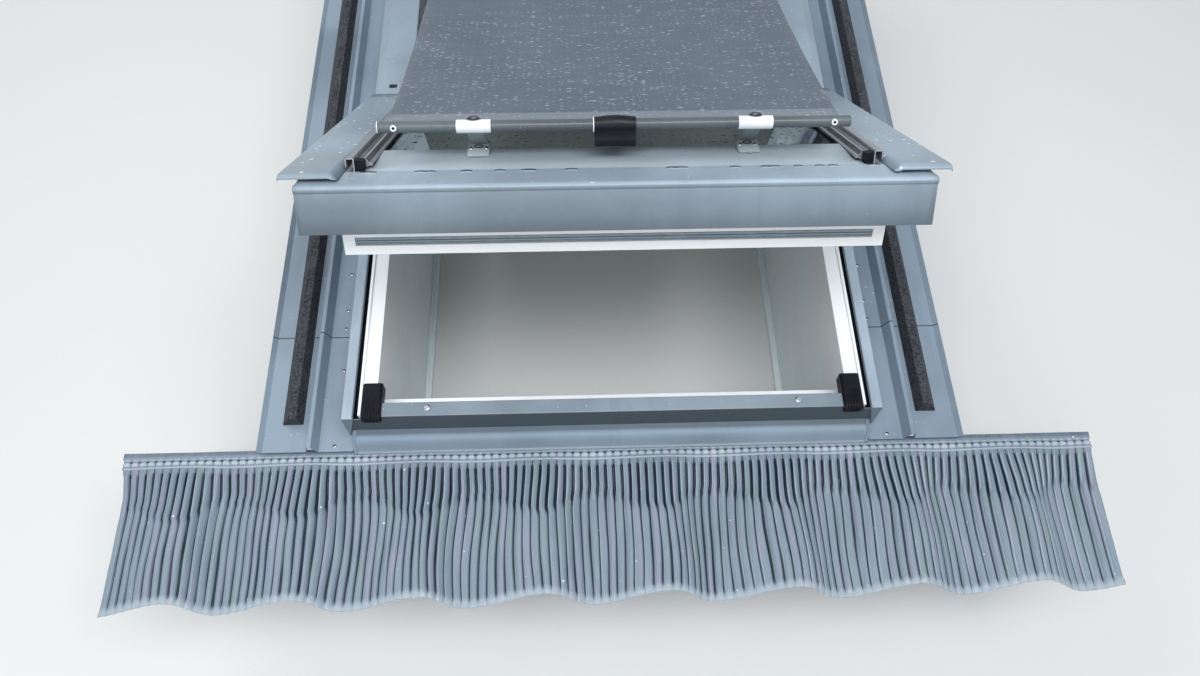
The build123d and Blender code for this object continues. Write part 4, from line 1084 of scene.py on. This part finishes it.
def bracket_rim(shape, mid):
    """Oval rim between the foot's screws."""
    long, short, bead, middle_y = 4.4, 2.6, 0.7, 104.6
    rings = []
    for t in turns(32):
        ring = []
        for w in turns(6):
            x = (long + bead * math.cos(w)) * math.cos(t)
            y = middle_y + (short + bead * math.cos(w)) * math.sin(t)
            ring.append(on_foot(mid, x, y, foot_lift(y) + 0.15 + bead * math.sin(w)))
        rings.append(ring)
    shape.loft(rings, True)


tubes, domes = each_at(CLAMPS, clamp_tube), each_at(CLAMPS, clamp_dome)
castings, rims = each_at(CLAMPS, bracket, 38.0), each_at(CLAMPS, bracket_rim)
piece_from("bar_clamp_tubes", tubes, "white_plastic", "sash", ["bar_clamps"])
piece_from("clamp_domes", domes, "black_plastic", "sash", ["clamp_caps"], "cap_plastic")
piece_from("bracket_castings", castings, "bracket_paint", "sash", ["awning_brackets"])
# painted shade: the raised rim on each foot is given the dark finish
piece_from("bracket_rims", rims, "bracket_paint", "sash", finish="dark_recess")
small_head = {"top": "cap_plastic", "head_radius": 0.0026, "head_height": 0.0014}
foot_screws = [
    on_foot(mid, x, 101.0, foot_lift(101.0) - 0.1) for mid in CLAMPS for x in (-8.0, 8.0)
]
foot_tilt = math.atan(SLOPE) + math.atan(FOOT_SLOPE) - OPEN
heads_at(
    "foot_heads", foot_screws, "steel", "sash", ["bracket_screws"], tilt=foot_tilt, **small_head
)

# where the ring screws start before the bar's middle, and the radius of their hole, which is
# painted dark as shade
RING_Y = BAR_Y - 4.9
HOLE = 0.00145


def bar_rings():
    """White ring screws near the bar's ends, and thin white washers round the bar."""
    shape = Shape()
    face = [(0.0, 3.3), (1.2, 3.3), (1.6, 2.9), (1.6, 1.5), (0.5, 1.3), (0.5, 0.0001)]
    for mid in RINGS:
        shape.round(lambda out, x, up: on_sash(mid + x, RING_Y - out, BAR_Z + up), face, 24)
    for x, low, high in ((-239.6, 5.0, 6.15), (-21.9, 5.6, 7.9)):
        washer = [(x - 0.5, low), (x - 0.5, high), (x + 0.5, high), (x + 0.5, low)]
        shape.round(round_bar, washer, 36, True)
    return shape.mesh("rings")


rings = piece_from("white_rings", bar_rings(), "white_plastic", "sash", ["bar_screws"])
# painted shade: the faces inside each ring screw's hole are coloured dark
rings.data.materials.append(finishes["dark_recess"])
out = SASH_FRONT.normalized()
for side in rings.data.polygons:
    apart = side.center - on_sash(math.copysign(RINGS[1], side.center.x), RING_Y, BAR_Z)
    if (apart - out * apart.dot(out)).length < HOLE:
        side.material_index = 1


def tab():
    """Black pull tab, wrapped round the bar with a low arch on top and a flap below."""
    half = 21.0
    flap = ((-5.6, -14.0), (-5.2, -20.8), (-4.0, -21.8), (-2.9, -20.8), (-2.6, -10.0))
    rings = []
    for k in range(15):
        x = -half + 2 * half * k / 14
        swell = 1.6 * max(0.0, 1 - (x / 17.0) ** 2)
        ring = []
        for angle in (math.radians(t - 45) for t in range(0, 271, 15)):
            reach = 7.75 + swell * max(0.0, math.sin(angle)) ** 2
            ring.append(round_bar(x, reach * math.cos(angle), reach * math.sin(angle)))
        rings.append(ring + [round_bar(x, r, up) for r, up in flap])
    shape = Shape()
    shape.loft(rings)
    return shape.mesh("tab", sharp=50.0)


piece_from("wrapped_tab", tab(), "black_plastic", "sash", ["pull_tab"])


# Frame details
def corner_plug(shape, side):
    """Rubber corner with broad chamfers, a nose over the front and ribs on its lower half."""
    inner, outer = 282.0, 306.0

    def at(x, y, z):
        return on_roof(side * x, y, z)

    # the body, from its upper end down to the front
    rings = []
    for y, low, high in (
        (46.0, 0.3, 2.4), (45.2, 0.3, 4.2), (24.0, 0.3, 4.4), (6.0, 0.3, 4.4),
        (1.4, 0.3, 4.0), (-0.6, 0.3, 2.6), (-1.6, -1.0, 1.2),
    ):
        section = [(inner, low), (inner, high - 1.8), (284.2, high)]
        section += [(303.0, high), (outer, high - 2.4), (outer, low)]
        rings.append([at(x, y, z) for x, z in section])
    shape.loft(rings)
    nose = [(282.4, -1.0, 2.0), (284.0, -1.7, 2.4), (304.0, -1.7, 2.4)]
    nose += [(305.6, -1.0, 2.0), (305.0, -1.0, -9.6), (283.0, -1.0, -9.6)]
    shape.loft([[at(*p) for p in nose], [at(x, 1.8, z) for x, _, z in nose]])
    skirt = [(289.6, 21.6), (282.6, 21.6), (282.1, 22.6)]
    skirt += [(282.1, 45.0), (283.0, 46.0), (289.6, 46.0)]
    shape.loft([[at(x, y, z) for x, y in skirt] for z in (-14.0, 1.8)])

    def rib(x, foot, crown):
        """Section of a rib, from the (y, z) of its foot to that of its crown."""
        return [at(x - 0.6, *foot), at(x + 0.6, *foot), at(x + 0.35, *crown), at(x - 0.35, *crown)]

    crest = ((25.0, 3.9, 0.0), (23.0, 4.4, 0.0), (5.0, 4.4, 0.0), (0.6, 4.0, 0.3), (-1.2, 2.2, 0.8))
    for k in range(5):
        x = 287.0 + 3.4 * k
        shape.loft([rib(x, (y, z - 0.6), (y - proud, z + 0.75)) for y, z, proud in crest])
        shape.loft([rib(x, (-1.2, z), (-2.05, z)) for z in (2.2, -7.6)])


plugs = each_at((-1, 1), corner_plug)
piece_from("ribbed_plugs", plugs, "black_rubber", "frame", ["corner_plugs"])


def sill_seam(shape, side):
    """Standing seam at an end of the sill plate, curling out as it comes down."""
    section = ((-1.7, 0.2), (-1.5, 2.0), (-0.6, 2.6), (0.6, 2.6), (1.5, 2.0), (1.7, 0.2))
    rings = []
    for share in (k / 8 for k in range(9)):
        y = 2.0 - 22.0 * share
        z = -43.5 - 23.2 * min(1.0, share * 1.18)
        x = 322.0 + 2.6 * math.sin(share * math.pi * 0.9) ** 2 + 2.0 * share
        rings.append([on_roof(side * (x + a), y, z + b) for a, b in section])
    shape.loft(rings)


piece_from("sill_seams", each_at((-1, 1), sill_seam), "flashing_aluminium", "frame")
nails = [(354.0, 243.9), (353.2, 186.3), (353.3, 158.4), (350.5, 96.0), (352.0, -9.4)]
nail_places = [on_roof(x * s, y, -64.3) for x, y in nails for s in (-1, 1)]
heads_at("gutter_nails", nail_places, "steel", "frame", recess=0.0002, **small_head)


def lining_trim():
    """White edge strip round the inner end of the lining boards, with a fine groove."""
    half, low, high = 290.0, 45.5, 934.5
    # each point: how far in from the boards' faces, and its height
    line = [(0.2, -339.6), (0.2, -330.0), (2.0, -329.0), (4.2, -329.0), (4.6, -330.2)]
    line += [(5.2, -330.2), (5.6, -329.0), (9.0, -329.0), (10.0, -330.0), (10.0, -339.6)]
    rings = []
    for x, edge, inwards in ((-1, low, 1), (1, low, 1), (1, high, -1), (-1, high, -1)):
        ring = [on_roof(x * (half - inset), edge + inwards * inset, z) for inset, z in line]
        rings.append(ring)
    shape = Shape()
    shape.loft(rings, True)
    return shape.mesh("trim")


piece_from("lining_edge", lining_trim(), "lining_board", "frame")

# Camera
lens = bpy.data.cameras.new("camera")
lens.sensor_width = 36.0
lens.lens = 27.291
camera = placed("camera", lens)
camera.location = (-0.0431, -0.9151, 1.1139)
camera.rotation_euler = [math.radians(a) for a in (27.33, -0.76, -1.70)]
bpy.context.scene.camera = camera


# Floor and light
def pale_floor():
    """A plain pale floor that the camera sees as a light even ground."""
    mesh = bpy.data.meshes.new("floor")
    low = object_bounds()[0][2] - 0.0002
    reach = 14.0
    corners = [(-reach, -reach), (reach, -reach), (reach, reach), (-reach, reach)]
    mesh.from_pydata([(x, y, low) for x, y in corners], [], [(0, 1, 2, 3)])
    f = Finish("floor")
    f.colour = f.mix(f.noise(3.0, 2.0), (0.70, 0.70, 0.69), (0.72, 0.72, 0.71))
    mesh.materials.append(f.done(0.8))
    floor = placed("floor", mesh)


pale_floor()
world = bpy.data.worlds.new("studio")
bpy.context.scene.world = world
world.use_nodes = True
world.node_tree.nodes.clear()
sky = Nodes(world.node_tree)
rays = sky.node("ShaderNodeLightPath")
# the sky is brighter where the camera, a mirror or glass sees it than where it lights
seen, mirrored, through = (
    rays.beside(kind + " Ray") for kind in ("Is Camera", "Is Glossy", "Is Transmission")
)
strength = seen.most(mirrored).most(through) * 0.46 + 0.49
sockets = {"Color": (0.90, 0.95, 1.0), "Strength": strength}
sky.node("ShaderNodeOutputWorld", {0: sky.node("ShaderNodeBackground", sockets)})


def soft_lamp(name, place, target, size, power, colour):
    """A wide lamp that looks at its target."""
    lamp = bpy.data.lights.new(name, "AREA")
    lamp.shape = "RECTANGLE"
    lamp.size, lamp.size_y = size
    lamp.energy = power
    lamp.color = colour
    obj = placed(name, lamp)
    obj.location = place
    obj.rotation_euler = (Vector(target) - Vector(place)).to_track_quat("-Z", "Y").to_euler()


soft_lamp("over_left", (-1.9, 0.9, 2.6), (0, -0.1, 0), (1.8, 1.8), 26.0, (1.0, 0.99, 0.97))
soft_lamp("over_front", (0.2, -1.15, 2.9), (0, -0.3, 0.2), (2.8, 1.0), 76.0, (0.96, 0.98, 1.0))
soft_lamp("low_front", (-0.5, -1.7, 1.1), (0.15, -0.25, -0.1), (1.4, 0.9), 4.5, (0.97, 0.99, 1.0))

bpy.context.scene.view_settings.view_transform = "Standard"
